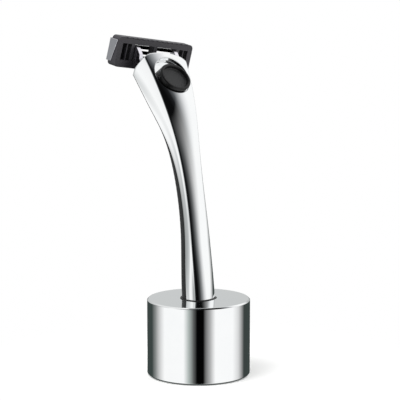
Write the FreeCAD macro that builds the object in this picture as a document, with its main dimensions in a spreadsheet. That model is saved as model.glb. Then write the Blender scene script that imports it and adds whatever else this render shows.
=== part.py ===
import FreeCAD, Part
import math
import os

import Sketcher
from FreeCAD import Placement, Rotation, Vector

# A cartridge razor that stands in a weighted socket.  Millimetres, +Z up.  The origin is the
# centre of the stand's underside.  The button looks to -Y and the blades to +Y.
os.makedirs("parts", exist_ok=True)
doc = FreeCAD.newDocument("cartridge_razor")

# ---------------------------------------------------------------- driving dimensions

DIMENSIONS = {
    # stand
    "stand_diameter": 40.0, "stand_height": 30.0, "stand_wall": 1.6, "stand_top": 2.2,
    "stand_edge": 0.5, "base_gap": 0.3, "base_thickness": 2.0, "pad_thickness": 1.0,
    "pad_diameter": 36.0, "inside_gap": 0.1, "screw_circle": 13.5, "screw_shank": 2.5,
    "screw_head": 5.0, "screw_length": 8.0, "socket_fit": 0.15, "liner_wall": 0.5,
    "foot_length": 22.0, "liner_floor": 1.5, "liner_rim": 0.3,
    "screw_head_height": 1.0, "screw_recess_depth": 0.6,
    # gaps between pieces that press, bear or slide on one another
    "press_gap": 0.02, "stem_gap": 0.03, "free_gap": 0.05, "slot_gap": 0.2, "chin_gap": 0.4,
    # how the razor leans in the stand and how the handle bends, in degrees
    "lean_forward": 13.0, "lean_sideways": 7.5, "head_angle": 36.0,
    "bend_start": 21.0, "bend_end": 94.0, "handle_length": 97.0, "seam_gap": 0.12,
    # head: depths are measured from the handle's middle line toward the button face
    "recess_half_width": 8.6, "recess_half_length": 8.0, "recess_middle": 8.2,
    "recess_floor": 2.6, "hood_floor": 2.0, "hood_tip": 2.2, "hood_root": 0.9,
    "chin_slope": 0.85, "arch_flat": 8.0, "arch_shoulder": 1.5, "arch_side": 14.2,
    "arch_foot": 6.0, "arch_radius": 8.5, "cavity_rear": 19.0, "cavity_rear_half": 8.5,
    "cavity_front_half": 11.0, "tail_length": 5.0, "tail_half": 3.0, "fit_gap": 0.1,
    # button
    "button_half_width": 7.5, "button_half_length": 6.2, "button_middle": 9.7,
    "button_top": 6.6, "button_under": 2.75, "button_dish": 1.3, "button_rim": 1.3,
    "button_round": 0.45,
    "stem_half": 1.8, "stem_front": 8.4, "stem_rear": 11.6, "stem_foot": 0.5,
    "button_travel": 3.0, "slot_reach": 1.4,
    # slider, arms and their pegs
    "slider_top": 1.9, "slider_under": 1.2, "slider_half": 8.2, "slider_rear": 17.4,
    "slider_shoulder": 12.0, "slider_neck": 3.2, "slider_slope": 1.4, "peg_radius": 0.75, "peg_across": 6.74,
    "peg_along": 13.0, "slot_clearance": 0.1, "arm_travel": 1.3,
    "arm_top": 1.1, "arm_under": 0.5, "arm_width": 1.8, "arm_outer": 10.8,
    "arm_rear_outer": 6.2, "arm_rear": 18.0, "arm_knee": 2.0,
    "arm_root": 1.0,
    # pivot of the cartridge, measured in the head
    "pivot_forward": 2.89, "pivot_out": 4.93, "cartridge_angle": 46.0,
    "pin_radius": 0.7, "pin_length": 1.3, "boss_radius": 1.2,
    # carrier, plunger and springs
    "carrier_under": 2.95, "carrier_top": 0.6, "spine_half": 2.6, "spine_top": 0.38,
    "spine_front": 2.0, "wall_half": 1.6, "carrier_head_height": 0.8, "drive_half": 0.9,
    "drive_width": 0.3,
    "plunger_depth": 0.9, "plunger_radius": 0.8, "collar_radius": 1.1, "bore_step": 6.0,
    "bore_rear": 17.0, "plunger_nose": 3.63, "spring_wire": 0.25, "plunger_coil": 0.82,
    "button_coil": 0.6, "button_spring_depth": 1.15, "wall_front": 2.2, "wall_rear": 3.0,
    "carrier_screw_along": 21.5, "carrier_screw_shank": 0.7, "carrier_screw_head": 1.3,
    "carrier_screw_tip": 3.4,
    # cartridge: x along the blades, y from the back toward the skin, z toward the cap
    "cartridge_half": 19.5, "cartridge_half_height": 6.1, "frame_depth": 4.6,
    "frame_corner": 1.6, "window_bottom": 3.1, "window_top": 3.6, "pivot_depth": 1.5,
    "pivot_drop": 1.5, "rib_half": 0.8, "lug_inner": 11.0, "lug_outer": 12.6,
    "side_rib_inner": 14.6, "side_rib_outer": 15.0, "window_end": 17.2,
    "blade_half": 17.9, "blade_bed": 3.4, "blade_bed_half": 18.0, "blade_bed_bottom": 3.5,
    "blade_bed_top": 4.0, "blade_pitch": 2.15, "blade_thickness": 0.25,
    "guard_half": 17.0, "guard_bottom": 5.7, "guard_top": 3.9, "guard_bed": 3.8,
    "fin_height": 0.7, "fin_thickness": 0.2, "fin_pitch": 0.45,
    "strip_half": 16.5, "strip_bottom": 4.4, "strip_top": 5.7, "strip_bed": 3.9,
    "strip_front": 5.2, "clip_thickness": 0.3, "clip_inner": 17.2, "clip_bottom": 4.4,
    "clip_top": 4.6, "clip_back": 0.6, "clip_front": 5.1,
    "notch_width": 1.5, "notch_depth": 0.35, "notch_reach": 0.6, "notch_pitch": 2.6,
}

# Handle sections, from the foot to the rim: how far along the handle, and then the half width
# and rise of the crease, the rise of the crown, the half width and drop of the seam, and the
# drop of the belly.
SECTION_FIELDS = ("crease_half", "crease_rise", "crown_rise", "seam_half", "seam_drop", "belly_drop")
SECTIONS = {
    "foot": (-22.0, (5.1, 3.9, 5.4, 6.3, 0.3, 6.5)),
    "plug": (-11.0, (5.1, 3.9, 5.4, 6.3, 0.3, 6.5)),
    "mouth": (0.0, (5.1, 3.9, 5.4, 6.3, 0.3, 6.5)),
    "calf": (20.0, (5.0, 3.2, 4.5, 5.4, 0.4, 5.9)),
    "waist": (40.0, (4.85, 2.7, 3.9, 5.1, 0.5, 5.5)),
    "swell": (60.0, (6.0, 3.3, 4.5, 6.6, 1.1, 5.4)),
    "shoulder": (80.0, (8.85, 4.3, 5.5, 10.4, 2.9, 5.1)),
    "rim": (100.0, (11.5, 4.5, 5.6, 13.9, 3.2, 4.4)),
}
for section_name, (_, section_values) in SECTIONS.items():
    for field, section_value in zip(SECTION_FIELDS, section_values):
        DIMENSIONS[f"{section_name}_{field}"] = section_value

sheet = doc.addObject("Spreadsheet::Sheet", "Dims")
for row_number, (alias, number) in enumerate(DIMENSIONS.items(), start=1):
    sheet.set(f"A{row_number}", alias)
    sheet.set(f"B{row_number}", str(number))
    sheet.setAlias(f"B{row_number}", alias)
doc.recompute()


class Size:
    """A length with its value now and the sheet expression that drives it."""

    def __init__(self, value, text=None):
        self.value = float(value)
        self.text = text if text is not None else repr(float(value))
        self.driven = text is not None

    def combine(self, other, sign, value, flip=False):
        other = other if isinstance(other, Size) else Size(other)
        first, second = (other, self) if flip else (self, other)
        result = Size(value(first.value, second.value), f"({first.text} {sign} {second.text})")
        result.driven = self.driven or other.driven
        return result

    def __add__(self, other):
        return self.combine(other, "+", lambda a, b: a + b)

    def __radd__(self, other):
        return self.combine(other, "+", lambda a, b: a + b, flip=True)

    def __sub__(self, other):
        return self.combine(other, "-", lambda a, b: a - b)

    def __rsub__(self, other):
        return self.combine(other, "-", lambda a, b: a - b, flip=True)

    def __mul__(self, other):
        return self.combine(other, "*", lambda a, b: a * b)

    def __rmul__(self, other):
        return self.combine(other, "*", lambda a, b: a * b, flip=True)

    def __truediv__(self, other):
        return self.combine(other, "/", lambda a, b: a / b)

    def __neg__(self):
        return 0.0 - self


def size(alias):
    """The sheet's cell as a Size."""
    return Size(sheet.get(alias), f"Dims.{alias}")


def number(alias):
    """The sheet's cell as a plain number."""
    return float(sheet.get(alias))


def as_size(value):
    return value if isinstance(value, Size) else Size(value)


# ---------------------------------------------------------------- frames

BEND_RADIUS = (number("bend_end") - number("bend_start")) / math.radians(
    number("head_angle") - number("lean_forward")
)


def spine_frame(along):
    """The handle's section frame: z runs up the handle and y to the blade side."""
    start = math.radians(number("lean_forward"))
    straight = min(along, number("bend_start"))
    y = straight * math.sin(start)
    z = straight * math.cos(start)
    angle = start
    if along > number("bend_start"):
        bent = min(along, number("bend_end")) - number("bend_start")
        angle = start + bent / BEND_RADIUS
        y += BEND_RADIUS * (math.cos(start) - math.cos(angle))
        z += BEND_RADIUS * (math.sin(angle) - math.sin(start))
    rest = max(0.0, along - number("bend_end"))
    y += rest * math.sin(angle)
    z += rest * math.cos(angle)
    return Placement(Vector(0, y, z), Rotation(Vector(1, 0, 0), -math.degrees(angle)))


STAND = Placement()
RAZOR = Placement(
    Vector(0, 0, number("stand_height")),
    Rotation(Vector(0, 1, 0), number("lean_sideways")),
)
FOOT = spine_frame(0.0)
HEAD = spine_frame(number("handle_length"))
SOCKET = RAZOR * FOOT
PIVOT = HEAD * Placement(
    Vector(0, number("pivot_forward"), number("pivot_out")),
    Rotation(Vector(1, 0, 0), number("cartridge_angle")),
)
CARTRIDGE = PIVOT * Placement(
    Vector(0, -number("pivot_depth"), number("pivot_drop")), Rotation()
)
IN_HEAD = RAZOR * HEAD
IN_CARTRIDGE = RAZOR * CARTRIDGE


def level(z=0.0, base=Placement()):
    """A sketch frame across the part's Z, at height z."""
    return base * Placement(Vector(0, 0, z), Rotation())


def plan(y=0.0, base=Placement()):
    """A sketch frame with x along X and y along Z, seen from -Y, at depth y."""
    return base * Placement(Vector(0, y, 0), Rotation(Vector(1, 0, 0), 90))


def side(x=0.0, base=Placement()):
    """A sketch frame with x along Y and y along Z, seen from +X, at x."""
    return base * Placement(Vector(x, 0, 0), Rotation(Vector(1, 1, 1), 120))


# ---------------------------------------------------------------- sketch and feature helpers

NODES = []

# How far outside a solid a cut begins, so that it always enters through a face.
CUT_START = 5.0


def new_body(name, placement=STAND):
    """An empty body that becomes the node called name."""
    body = doc.addObject("PartDesign::Body", name)
    body.Label = name
    body.Placement = placement
    NODES.append(body)
    return body


def new_sketch(body, frame=Placement()):
    """A sketch on the body's own XY plane, carried to frame."""
    plane = next(f for f in body.Origin.OriginFeatures if f.Role == "XY_Plane")
    sketch = body.newObject("Sketcher::SketchObject", f"{body.Name}_sketch")
    sketch.AttachmentSupport = [(plane, "")]
    sketch.MapMode = "FlatFace"
    sketch.AttachmentOffset = frame
    return sketch


def dimension(sketch, constraint, value):
    """Add a dimensional constraint and bind it to the sheet."""
    index = sketch.addConstraint(constraint)
    if value.driven:
        label = f"d{index}"
        sketch.renameConstraint(index, label)
        sketch.setExpression(f"Constraints.{label}", value.text)


def fix_point(sketch, edge, end, point):
    """Hold one point of an edge at its distances from the sketch's origin."""
    for kind, raw in (("DistanceX", point[0]), ("DistanceY", point[1])):
        value = as_size(raw)
        dimension(sketch, Sketcher.Constraint(kind, -1, 1, edge, end, value.value), value)


def outline(sketch, points, arcs=None):
    """Draw a closed outline.  arcs maps an edge to the radius it is bent to.

    A positive radius bulges to the left of the way along the edge, a negative one to the right.
    """
    arcs = arcs or {}
    corners = [Vector(as_size(x).value, as_size(y).value, 0) for x, y in points]
    first_edge = sketch.GeometryCount
    for index, start in enumerate(corners):
        end = corners[(index + 1) % len(corners)]
        if index not in arcs:
            sketch.addGeometry(Part.LineSegment(start, end))
            continue
        radius = as_size(arcs[index]).value
        chord = end - start
        half = chord.Length / 2
        sag = abs(radius) - math.sqrt(radius * radius - half * half)
        left = Vector(-chord.y, chord.x, 0).normalize()
        middle = (start + end) * 0.5 + left * math.copysign(sag, radius)
        sketch.addGeometry(Part.Arc(start, middle, end))
    for index in range(len(corners)):
        edge = first_edge + index
        following = first_edge + (index + 1) % len(corners)
        start_end = arc_ends(arcs, index)
        next_end = arc_ends(arcs, (index + 1) % len(corners))
        sketch.addConstraint(
            Sketcher.Constraint("Coincident", edge, start_end[1], following, next_end[0])
        )
        fix_point(sketch, edge, start_end[0], points[index])
        if index in arcs:
            radius = as_size(arcs[index])
            radius = -radius if radius.value < 0 else radius
            dimension(sketch, Sketcher.Constraint("Radius", edge, radius.value), radius)
    return first_edge


def arc_ends(arcs, index):
    """The sketch's start and end numbers of an edge: an arc is always stored anticlockwise."""
    if index in arcs and as_size(arcs[index]).value > 0:
        return 2, 1
    return 1, 2


def rectangle(sketch, x_from, x_to, y_from, y_to):
    outline(sketch, [(x_from, y_from), (x_to, y_from), (x_to, y_to), (x_from, y_to)])


def circle(sketch, x, y, radius):
    centre = Vector(as_size(x).value, as_size(y).value, 0)
    edge = sketch.addGeometry(Part.Circle(centre, Vector(0, 0, 1), as_size(radius).value))
    fix_point(sketch, edge, 3, (x, y))
    value = as_size(radius)
    dimension(sketch, Sketcher.Constraint("Radius", edge, value.value), value)


def oval(sketch, y, half_x, half_y):
    """An ellipse on the sketch's vertical axis, wider than it is tall."""
    centre = Vector(0, as_size(y).value, 0)
    edge = sketch.addGeometry(
        Part.Ellipse(
            centre + Vector(as_size(half_x).value, 0, 0),
            centre + Vector(0, as_size(half_y).value, 0),
            centre,
        )
    )
    sketch.exposeInternalGeometry(edge)
    sketch.addConstraint(Sketcher.Constraint("Horizontal", edge + 1))
    fix_point(sketch, edge, 3, (0.0, y))
    for line, half in ((edge + 1, half_x), (edge + 2, half_y)):
        width = half * 2
        dimension(sketch, Sketcher.Constraint("Distance", line, width.value), width)


def bind(feature, name, value):
    value = as_size(value)
    setattr(feature, name, value.value)
    if value.driven:
        feature.setExpression(name, value.text)


def pad(body, sketch, length, symmetric=False, against=False):
    """Extrude along the sketch's normal, or against it, or evenly both ways."""
    feature = body.newObject("PartDesign::Pad", f"{body.Name}_pad")
    feature.Profile = sketch
    feature.SideType = "Symmetric" if symmetric else "One side"
    feature.Reversed = against
    bind(feature, "Length", length)
    sketch.Visibility = False
    doc.recompute()
    return feature


def pocket(body, sketch, depth=None, symmetric=False, along=False):
    """Cut against the sketch's normal, or along it, to a depth or right through."""
    before = body.Shape.Volume
    feature = body.newObject("PartDesign::Pocket", f"{body.Name}_pocket")
    feature.Profile = sketch
    feature.SideType = "Symmetric" if symmetric else "One side"
    feature.Reversed = along
    if depth is None:
        feature.Type = "ThroughAll"
    else:
        bind(feature, "Length", depth)
    sketch.Visibility = False
    doc.recompute()
    if body.Shape.Volume > before - 1e-4:
        raise RuntimeError(f"{body.Name}: {sketch.Name} cuts nothing")
    return feature


def revolve(body, sketch):
    """Turn a sketch's outline right round the sketch's vertical axis."""
    feature = body.newObject("PartDesign::Revolution", f"{body.Name}_turn")
    feature.Profile = sketch
    feature.ReferenceAxis = (sketch, ["V_Axis"])
    feature.Angle = 360.0
    sketch.Visibility = False
    doc.recompute()
    return feature


def repeat(body, feature, sketch, axis, length, count):
    """A row of copies of one feature along a sketch's axis."""
    pattern = body.newObject("PartDesign::LinearPattern", f"{body.Name}_row")
    pattern.Originals = [feature]
    pattern.Direction = (sketch, [axis])
    bind(pattern, "Length", length)
    pattern.Occurrences = count
    body.Tip = pattern
    doc.recompute()
    return pattern


def soften(body, feature, choose, radius, kind="Fillet"):
    """Fillet or chamfer the edges that choose accepts."""
    names = [
        f"Edge{index}"
        for index, edge in enumerate(feature.Shape.Edges, start=1)
        if choose(edge)
    ]
    if not names:
        raise RuntimeError(f"{body.Name}: no edge to soften")
    finish = body.newObject(f"PartDesign::{kind}", f"{body.Name}_{kind.lower()}")
    finish.Base = (feature, names)
    bind(finish, "Radius" if kind == "Fillet" else "Size", radius)
    doc.recompute()
    return finish


def helix(body, coil, wire, start, length, turns):
    """A round-wire compression spring along the frame's z."""
    sketch = new_sketch(body, side())
    circle(sketch, coil, start, wire)
    spring = body.newObject("PartDesign::AdditiveHelix", f"{body.Name}_coil")
    spring.Profile = sketch
    spring.ReferenceAxis = (sketch, ["V_Axis"])
    spring.Mode = "height-turns-angle"
    bind(spring, "Height", length)
    spring.Turns = turns
    doc.recompute()
    return spring


# ---------------------------------------------------------------- handle sections


def section_size(section, field):
    return size(f"{section}_{field}")


def bow_radius(half, sag):
    """The radius of an arc from its half chord and its sag."""
    return (half * half + sag * sag) / (sag * 2)


def front_section(sketch, section):
    """Crown, two flanks and the seam: the front casting's outline."""
    crease = section_size(section, "crease_half")
    rise = section_size(section, "crease_rise")
    crown = section_size(section, "crown_rise")
    half = section_size(section, "seam_half")
    drop = section_size(section, "seam_drop")
    points = [(-crease, -rise), (crease, -rise), (half, drop), (-half, drop)]
    outline(sketch, points, {0: -bow_radius(crease, crown - rise)})


def back_section(sketch, section):
    """The seam and the round belly: the back grip's outline."""
    half = section_size(section, "seam_half")
    drop = section_size(section, "seam_drop") + size("seam_gap")
    belly = section_size(section, "belly_drop")
    points = [(-half, drop), (half, drop)]
    outline(sketch, points, {1: -bow_radius(half, belly - drop)})


def whole_section(sketch, grow):
    """The foot's full outline, grown by a clearance or a wall."""
    crease = size("foot_crease_half") + grow
    rise = size("foot_crease_rise") + grow * 0.5
    crown = size("foot_crown_rise") + grow
    half = size("foot_seam_half") + grow
    drop = size("foot_seam_drop")
    belly = size("foot_belly_drop") + grow
    points = [(-crease, -rise), (crease, -rise), (half, drop), (-half, drop)]
    arcs = {0: -bow_radius(crease, crown - rise), 2: -bow_radius(half, belly - drop)}
    outline(sketch, points, arcs)


def loft(body, draw):
    """Loft an outline through every section of the handle."""
    sketches = []
    for section, (along, _) in SECTIONS.items():
        sketch = new_sketch(body, spine_frame(along))
        draw(sketch, section)
        sketch.Visibility = False
        sketches.append(sketch)
    doc.recompute()
    feature = body.newObject("PartDesign::AdditiveLoft", f"{body.Name}_loft")
    feature.Profile = sketches[0]
    feature.Sections = sketches[1:]
    doc.recompute()
    return feature


FAR = 14.0


def chin_cut(body, base, inset):
    """Cut the head's end: a short hood over a chin that slopes back under it."""
    root = size("hood_root") - inset
    floor = size("hood_floor")
    hood_slope = (size("hood_tip") - size("hood_root")) / (size("rim_crown_rise") - floor)
    top = root + hood_slope * (FAR - floor)
    low = root - size("chin_slope") * (FAR + floor)
    sketch = new_sketch(body, side(0.0, base))
    outline(sketch, [(-FAR, top), (-floor, root), (FAR, low), (FAR, FAR), (-FAR, FAR)])
    return pocket(body, sketch, symmetric=True)


def arch_cut(body):
    """Round the two corners of the head's end."""
    flat = size("arch_flat")
    shoulder = size("arch_shoulder")
    reach = size("arch_side")
    foot = -size("arch_foot")
    crown = size("hood_tip") - shoulder
    sketch = new_sketch(body, plan(-FAR, HEAD))
    points = [
        (-2 * FAR, foot), (-reach, foot), (-flat, shoulder), (flat, shoulder),
        (reach, foot), (2 * FAR, foot), (2 * FAR, FAR), (-2 * FAR, FAR),
    ]
    arcs = {
        1: size("arch_radius"), 2: bow_radius(flat, crown), 3: size("arch_radius"),
    }
    outline(sketch, points, arcs)
    return pocket(body, sketch)


def cavity_outline(sketch, inset):
    """The head's hollow in plan: a wedge with a narrow tail for the screw."""
    rear = -(size("cavity_rear") - inset)
    rear_half = size("cavity_rear_half") - inset
    front_half = size("cavity_front_half") - inset
    tail = rear - size("tail_length")
    tail_half = size("tail_half") - inset
    knee = -size("arm_knee")
    points = [
        (-tail_half, tail), (tail_half, tail), (tail_half, rear), (rear_half, rear),
        (front_half, knee), (front_half, FAR), (-front_half, FAR), (-front_half, knee),
        (-rear_half, rear), (-tail_half, rear),
    ]
    outline(sketch, points)


# ---------------------------------------------------------------- stand


def stand_shell():
    """A chromed cup, open at the bottom, with a leaning hole in its top for the liner."""
    body = new_body("stand_shell")
    outer = size("stand_diameter") / 2
    inner = outer - size("stand_wall")
    top = size("stand_height")
    under = top - size("stand_top")
    edge = size("stand_edge")
    foot = size("base_gap")
    sketch = new_sketch(body, side())
    points = [
        (0.0, under), (inner, under), (inner, foot), (outer - edge, foot),
        (outer, foot + edge), (outer, top - edge), (outer - edge, top), (0.0, top),
    ]
    outline(sketch, points)
    revolve(body, sketch)
    hole = new_sketch(body, level(-CUT_START, SOCKET))
    whole_section(hole, size("socket_fit") + size("liner_wall") + size("free_gap"))
    pocket(body, hole, depth=CUT_START * 2, along=True)


def stand_weight():
    """A cast slug that fills the cup and makes the stand heavy."""
    body = new_body("stand_weight")
    gap = size("inside_gap")
    radius = size("stand_diameter") / 2 - size("stand_wall") - gap
    bottom = size("pad_thickness") + size("base_thickness") + gap
    top = size("stand_height") - size("stand_top") - gap
    sketch = new_sketch(body, level(bottom.value))
    circle(sketch, 0.0, 0.0, radius)
    pad(body, sketch, top - bottom)
    depth = size("foot_length") + size("liner_floor") + gap * 3
    bore = new_sketch(body, level(-depth.value, SOCKET))
    whole_section(bore, size("socket_fit") + size("liner_wall") + size("free_gap"))
    pocket(body, bore, depth=depth + CUT_START, along=True)
    threads = new_sketch(body, level(0.0))
    for x, y in screw_places():
        circle(threads, x, y, size("screw_shank") / 2 + size("press_gap"))
    reach = size("screw_length") + size("screw_head_height") + size("screw_recess_depth")
    pocket(body, threads, depth=reach, along=True)


def screw_places():
    """The three base screws stand evenly round the stand's axis."""
    circle_radius = number("screw_circle")
    angles = [math.radians(90 + 120 * index) for index in range(3)]
    return [(circle_radius * math.cos(a), circle_radius * math.sin(a)) for a in angles]


def socket_liner():
    """A plastic cup that grips the foot and stops it rattling in the slug."""
    body = new_body("socket_liner")
    depth = size("foot_length") + size("fit_gap")
    floor = size("liner_floor")
    outside = new_sketch(body, level(-(depth + floor).value, SOCKET))
    whole_section(outside, size("socket_fit") + size("liner_wall"))
    pad(body, outside, depth + floor + CUT_START)
    inside = new_sketch(body, level(-depth.value, SOCKET))
    whole_section(inside, size("socket_fit"))
    pocket(body, inside, depth=depth + CUT_START * 2, along=True)
    trim = new_sketch(body, level((size("stand_height") + size("liner_rim")).value))
    circle(trim, 0.0, 0.0, size("stand_diameter"))
    pocket(body, trim, depth=CUT_START * 4, along=True)


def stand_base_plate():
    """The steel disc that closes the cup, with three countersunk holes."""
    body = new_body("stand_base_plate")
    radius = size("stand_diameter") / 2 - size("stand_wall") - size("inside_gap")
    bottom = number("pad_thickness")
    sketch = new_sketch(body, level(bottom))
    circle(sketch, 0.0, 0.0, radius)
    pad(body, sketch, size("base_thickness"))
    holes = new_sketch(body, level(bottom))
    seats = new_sketch(body, level(bottom))
    for x, y in screw_places():
        circle(holes, x, y, size("screw_shank") / 2 + size("fit_gap"))
        circle(seats, x, y, size("screw_head") / 2 + size("fit_gap"))
    pocket(body, holes, depth=size("base_thickness") * 2, along=True)
    pocket(body, seats, depth=size("screw_head_height") + size("fit_gap"), along=True)


def base_screws():
    """Three short pan screws through the base plate into the slug."""
    bottom = number("pad_thickness") + number("fit_gap")
    screws = []
    for index, (x, y) in enumerate(screw_places(), start=1):
        head = doc.addObject("Part::Cylinder", f"screw_head_{index}")
        head.setExpression("Radius", "Dims.screw_head / 2")
        head.setExpression("Height", "Dims.screw_head_height")
        head.Placement = Placement(Vector(x, y, bottom), Rotation())
        shank = doc.addObject("Part::Cylinder", f"screw_shank_{index}")
        shank.setExpression("Radius", "Dims.screw_shank / 2")
        shank.setExpression("Height", "Dims.screw_length")
        shank.Placement = Placement(Vector(x, y, bottom), Rotation())
        recess = doc.addObject("Part::Prism", f"screw_recess_{index}")
        recess.Polygon = 6
        recess.setExpression("Circumradius", "Dims.screw_shank / 2")
        recess.setExpression("Height", "Dims.screw_recess_depth")
        recess.Placement = Placement(Vector(x, y, bottom), Rotation())
        whole = doc.addObject("Part::Fuse", f"screw_whole_{index}")
        whole.Base = head
        whole.Tool = shank
        screw = doc.addObject("Part::Cut", f"base_screw_{index}")
        screw.Base = whole
        screw.Tool = recess
        screws.append(screw)
    group = doc.addObject("Part::Compound", "base_screws")
    group.Label = "base_screws"
    group.Links = screws
    NODES.append(group)


def stand_foot_pad():
    """The non-slip disc that the stand rests on."""
    body = new_body("stand_foot_pad")
    sketch = new_sketch(body, level(0.0))
    circle(sketch, 0.0, 0.0, size("pad_diameter") / 2)
    pad(body, sketch, size("pad_thickness") - size("press_gap"))


# ---------------------------------------------------------------- handle


def handle_shell():
    """The chromed zinc casting: face, flanks, foot and the hollow head."""
    body = new_body("handle_shell", RAZOR)
    loft(body, front_section)
    chin_cut(body, HEAD, 0.0)
    arch_cut(body)
    hollow = new_sketch(body, plan(CUT_START, HEAD))
    cavity_outline(hollow, Size(0.0))
    pocket(body, hollow, depth=size("hood_floor") + CUT_START, along=True)
    above = CUT_START * 2
    recess = new_sketch(body, plan(-above, HEAD))
    oval(recess, -size("recess_middle"), size("recess_half_width"), size("recess_half_length"))
    pocket(body, recess, depth=above - size("recess_floor"))
    slot = new_sketch(body, plan(-above, HEAD))
    half = size("stem_half") + size("slot_gap")
    front = -size("stem_front") + size("button_travel") + size("slot_reach")
    rectangle(slot, -half, half, -size("stem_rear") - size("slot_gap"), front)
    pocket(body, slot, depth=above - size("hood_floor") / 2)
    screw = new_sketch(body, plan(CUT_START, HEAD))
    circle(screw, 0.0, -size("carrier_screw_along"), size("carrier_screw_shank") + size("press_gap"))
    pocket(body, screw, depth=size("carrier_screw_tip") + CUT_START + size("fit_gap"), along=True)


def back_grip():
    """The black grip that closes the back of the casting from the foot to the head."""
    body = new_body("back_grip", RAZOR)
    loft(body, back_section)
    chin_cut(body, HEAD, 0.0)


def arm_carrier():
    """The moulded block in the head that guides the arms and holds the plunger."""
    body = new_body("arm_carrier", IN_HEAD)
    plate = new_sketch(body, plan(number("carrier_under")))
    cavity_outline(plate, size("fit_gap"))
    pad(body, plate, size("carrier_under") - size("carrier_top"))
    spine = new_sketch(body, plan(number("carrier_under")))
    half = size("spine_half")
    rear = -size("cavity_rear") + size("fit_gap")
    rectangle(spine, -half, half, rear, size("spine_front"))
    pad(body, spine, size("carrier_under") + size("spine_top"))
    wall = new_sketch(body, plan(number("carrier_under")))
    rectangle(wall, -size("wall_half"), size("wall_half"), -size("wall_rear"), -size("wall_front"))
    pad(body, wall, size("carrier_under") + size("slider_top"))
    chin_cut(body, Placement(), size("chin_gap"))
    narrow = new_sketch(body, level(-number("bore_step") - number("collar_radius")))
    circle(narrow, 0.0, size("plunger_depth"), size("plunger_radius") + size("free_gap"))
    pocket(body, narrow, depth=size("bore_step") * 2, along=True)
    wide = new_sketch(body, level(-number("bore_rear")))
    circle(wide, 0.0, size("plunger_depth"), size("collar_radius") + size("free_gap"))
    pocket(body, wide, depth=size("bore_rear") - size("bore_step"), along=True)
    hole = new_sketch(body, plan(number("carrier_under")))
    circle(hole, 0.0, -size("carrier_screw_along"), size("carrier_screw_shank") + size("fit_gap"))
    pocket(body, hole, depth=size("carrier_under") * 2, along=True)
    seat = new_sketch(body, plan(number("carrier_under")))
    circle(seat, 0.0, -size("carrier_screw_along"), size("carrier_screw_head") + size("fit_gap"))
    pocket(body, seat, depth=size("carrier_head_height") + size("fit_gap"), along=True)


def carrier_screw():
    """The screw that holds the carrier in the head, under the grip."""
    body = new_body("carrier_screw", IN_HEAD)
    under = size("carrier_under") - size("free_gap")
    sketch = new_sketch(body, plan(under.value))
    circle(sketch, 0.0, -size("carrier_screw_along"), size("carrier_screw_head"))
    pad(body, sketch, size("carrier_head_height"))
    shank = new_sketch(body, plan(under.value))
    circle(shank, 0.0, -size("carrier_screw_along"), size("carrier_screw_shank"))
    pad(body, shank, under + size("carrier_screw_tip"))
    drive = new_sketch(body, plan(under.value))
    reach = size("drive_half")
    width = size("drive_width") / 2
    along = -size("carrier_screw_along")
    rectangle(drive, -reach, reach, along - width, along + width)
    pocket(body, drive, depth=size("carrier_head_height") / 2, along=True)


def release_button():
    """The dished oval button with the stem that drives the slider."""
    body = new_body("release_button", IN_HEAD)
    under = size("button_under")
    middle = -size("button_middle")
    disc = new_sketch(body, plan(-under.value))
    oval(disc, middle, size("button_half_width"), size("button_half_length"))
    solid = pad(body, disc, size("button_top") - under)
    dish = new_sketch(body, plan(-number("button_top")))
    rim = size("button_rim")
    oval(dish, middle, size("button_half_width") - rim, size("button_half_length") - rim)
    solid = pocket(body, dish, depth=size("button_dish"))
    top = -number("button_top")

    def on_rim(edge):
        return abs(edge.BoundBox.YMin - top) < 1e-3 and edge.BoundBox.YLength < 1e-3

    solid = soften(body, solid, on_rim, size("button_round"))
    stem = new_sketch(body, plan(-number("stem_foot")))
    half = size("stem_half")
    rectangle(stem, -half, half, -size("stem_rear"), -size("stem_front"))
    pad(body, stem, under - size("stem_foot") + size("slot_gap"))


def button_slider():
    """The steel plate under the button; its two slanting slots draw the arms together."""
    body = new_body("button_slider", IN_HEAD)
    half = size("slider_half")
    neck = size("slider_neck")
    rear = -size("slider_rear")
    shoulder = -size("slider_shoulder")
    front = -size("stem_front")
    slope = size("slider_slope")
    stem = size("stem_half") + size("stem_gap")
    stem_rear = -size("stem_rear") - size("stem_gap")
    plate = new_sketch(body, plan(-number("slider_under")))
    points = [
        (-half, rear), (half, rear), (half, shoulder), (neck, shoulder + slope), (neck, front),
        (stem, front), (stem, stem_rear), (-stem, stem_rear), (-stem, front), (-neck, front),
        (-neck, shoulder + slope), (-half, shoulder),
    ]
    outline(plate, points)
    pad(body, plate, size("slider_top") - size("slider_under"))
    slots = new_sketch(body, plan(-number("slider_under")))
    radius = size("peg_radius") + size("slot_clearance")
    run = math.hypot(number("arm_travel"), number("button_travel"))
    across = size("button_travel") / run
    along = size("arm_travel") / run
    for hand in (-1, 1):
        x = hand * size("peg_across")
        z = -size("peg_along")
        inner_x = x - hand * size("arm_travel")
        inner_z = z - size("button_travel")
        dx = radius * across * hand
        dz = radius * along
        points = [
            (x - dx, z + dz), (x + dx, z - dz),
            (inner_x + dx, inner_z - dz), (inner_x - dx, inner_z + dz),
        ]
        bend = radius * (1.0001 * hand)
        outline(slots, points, {0: bend, 2: bend})
    pocket(body, slots, along=True)


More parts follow.
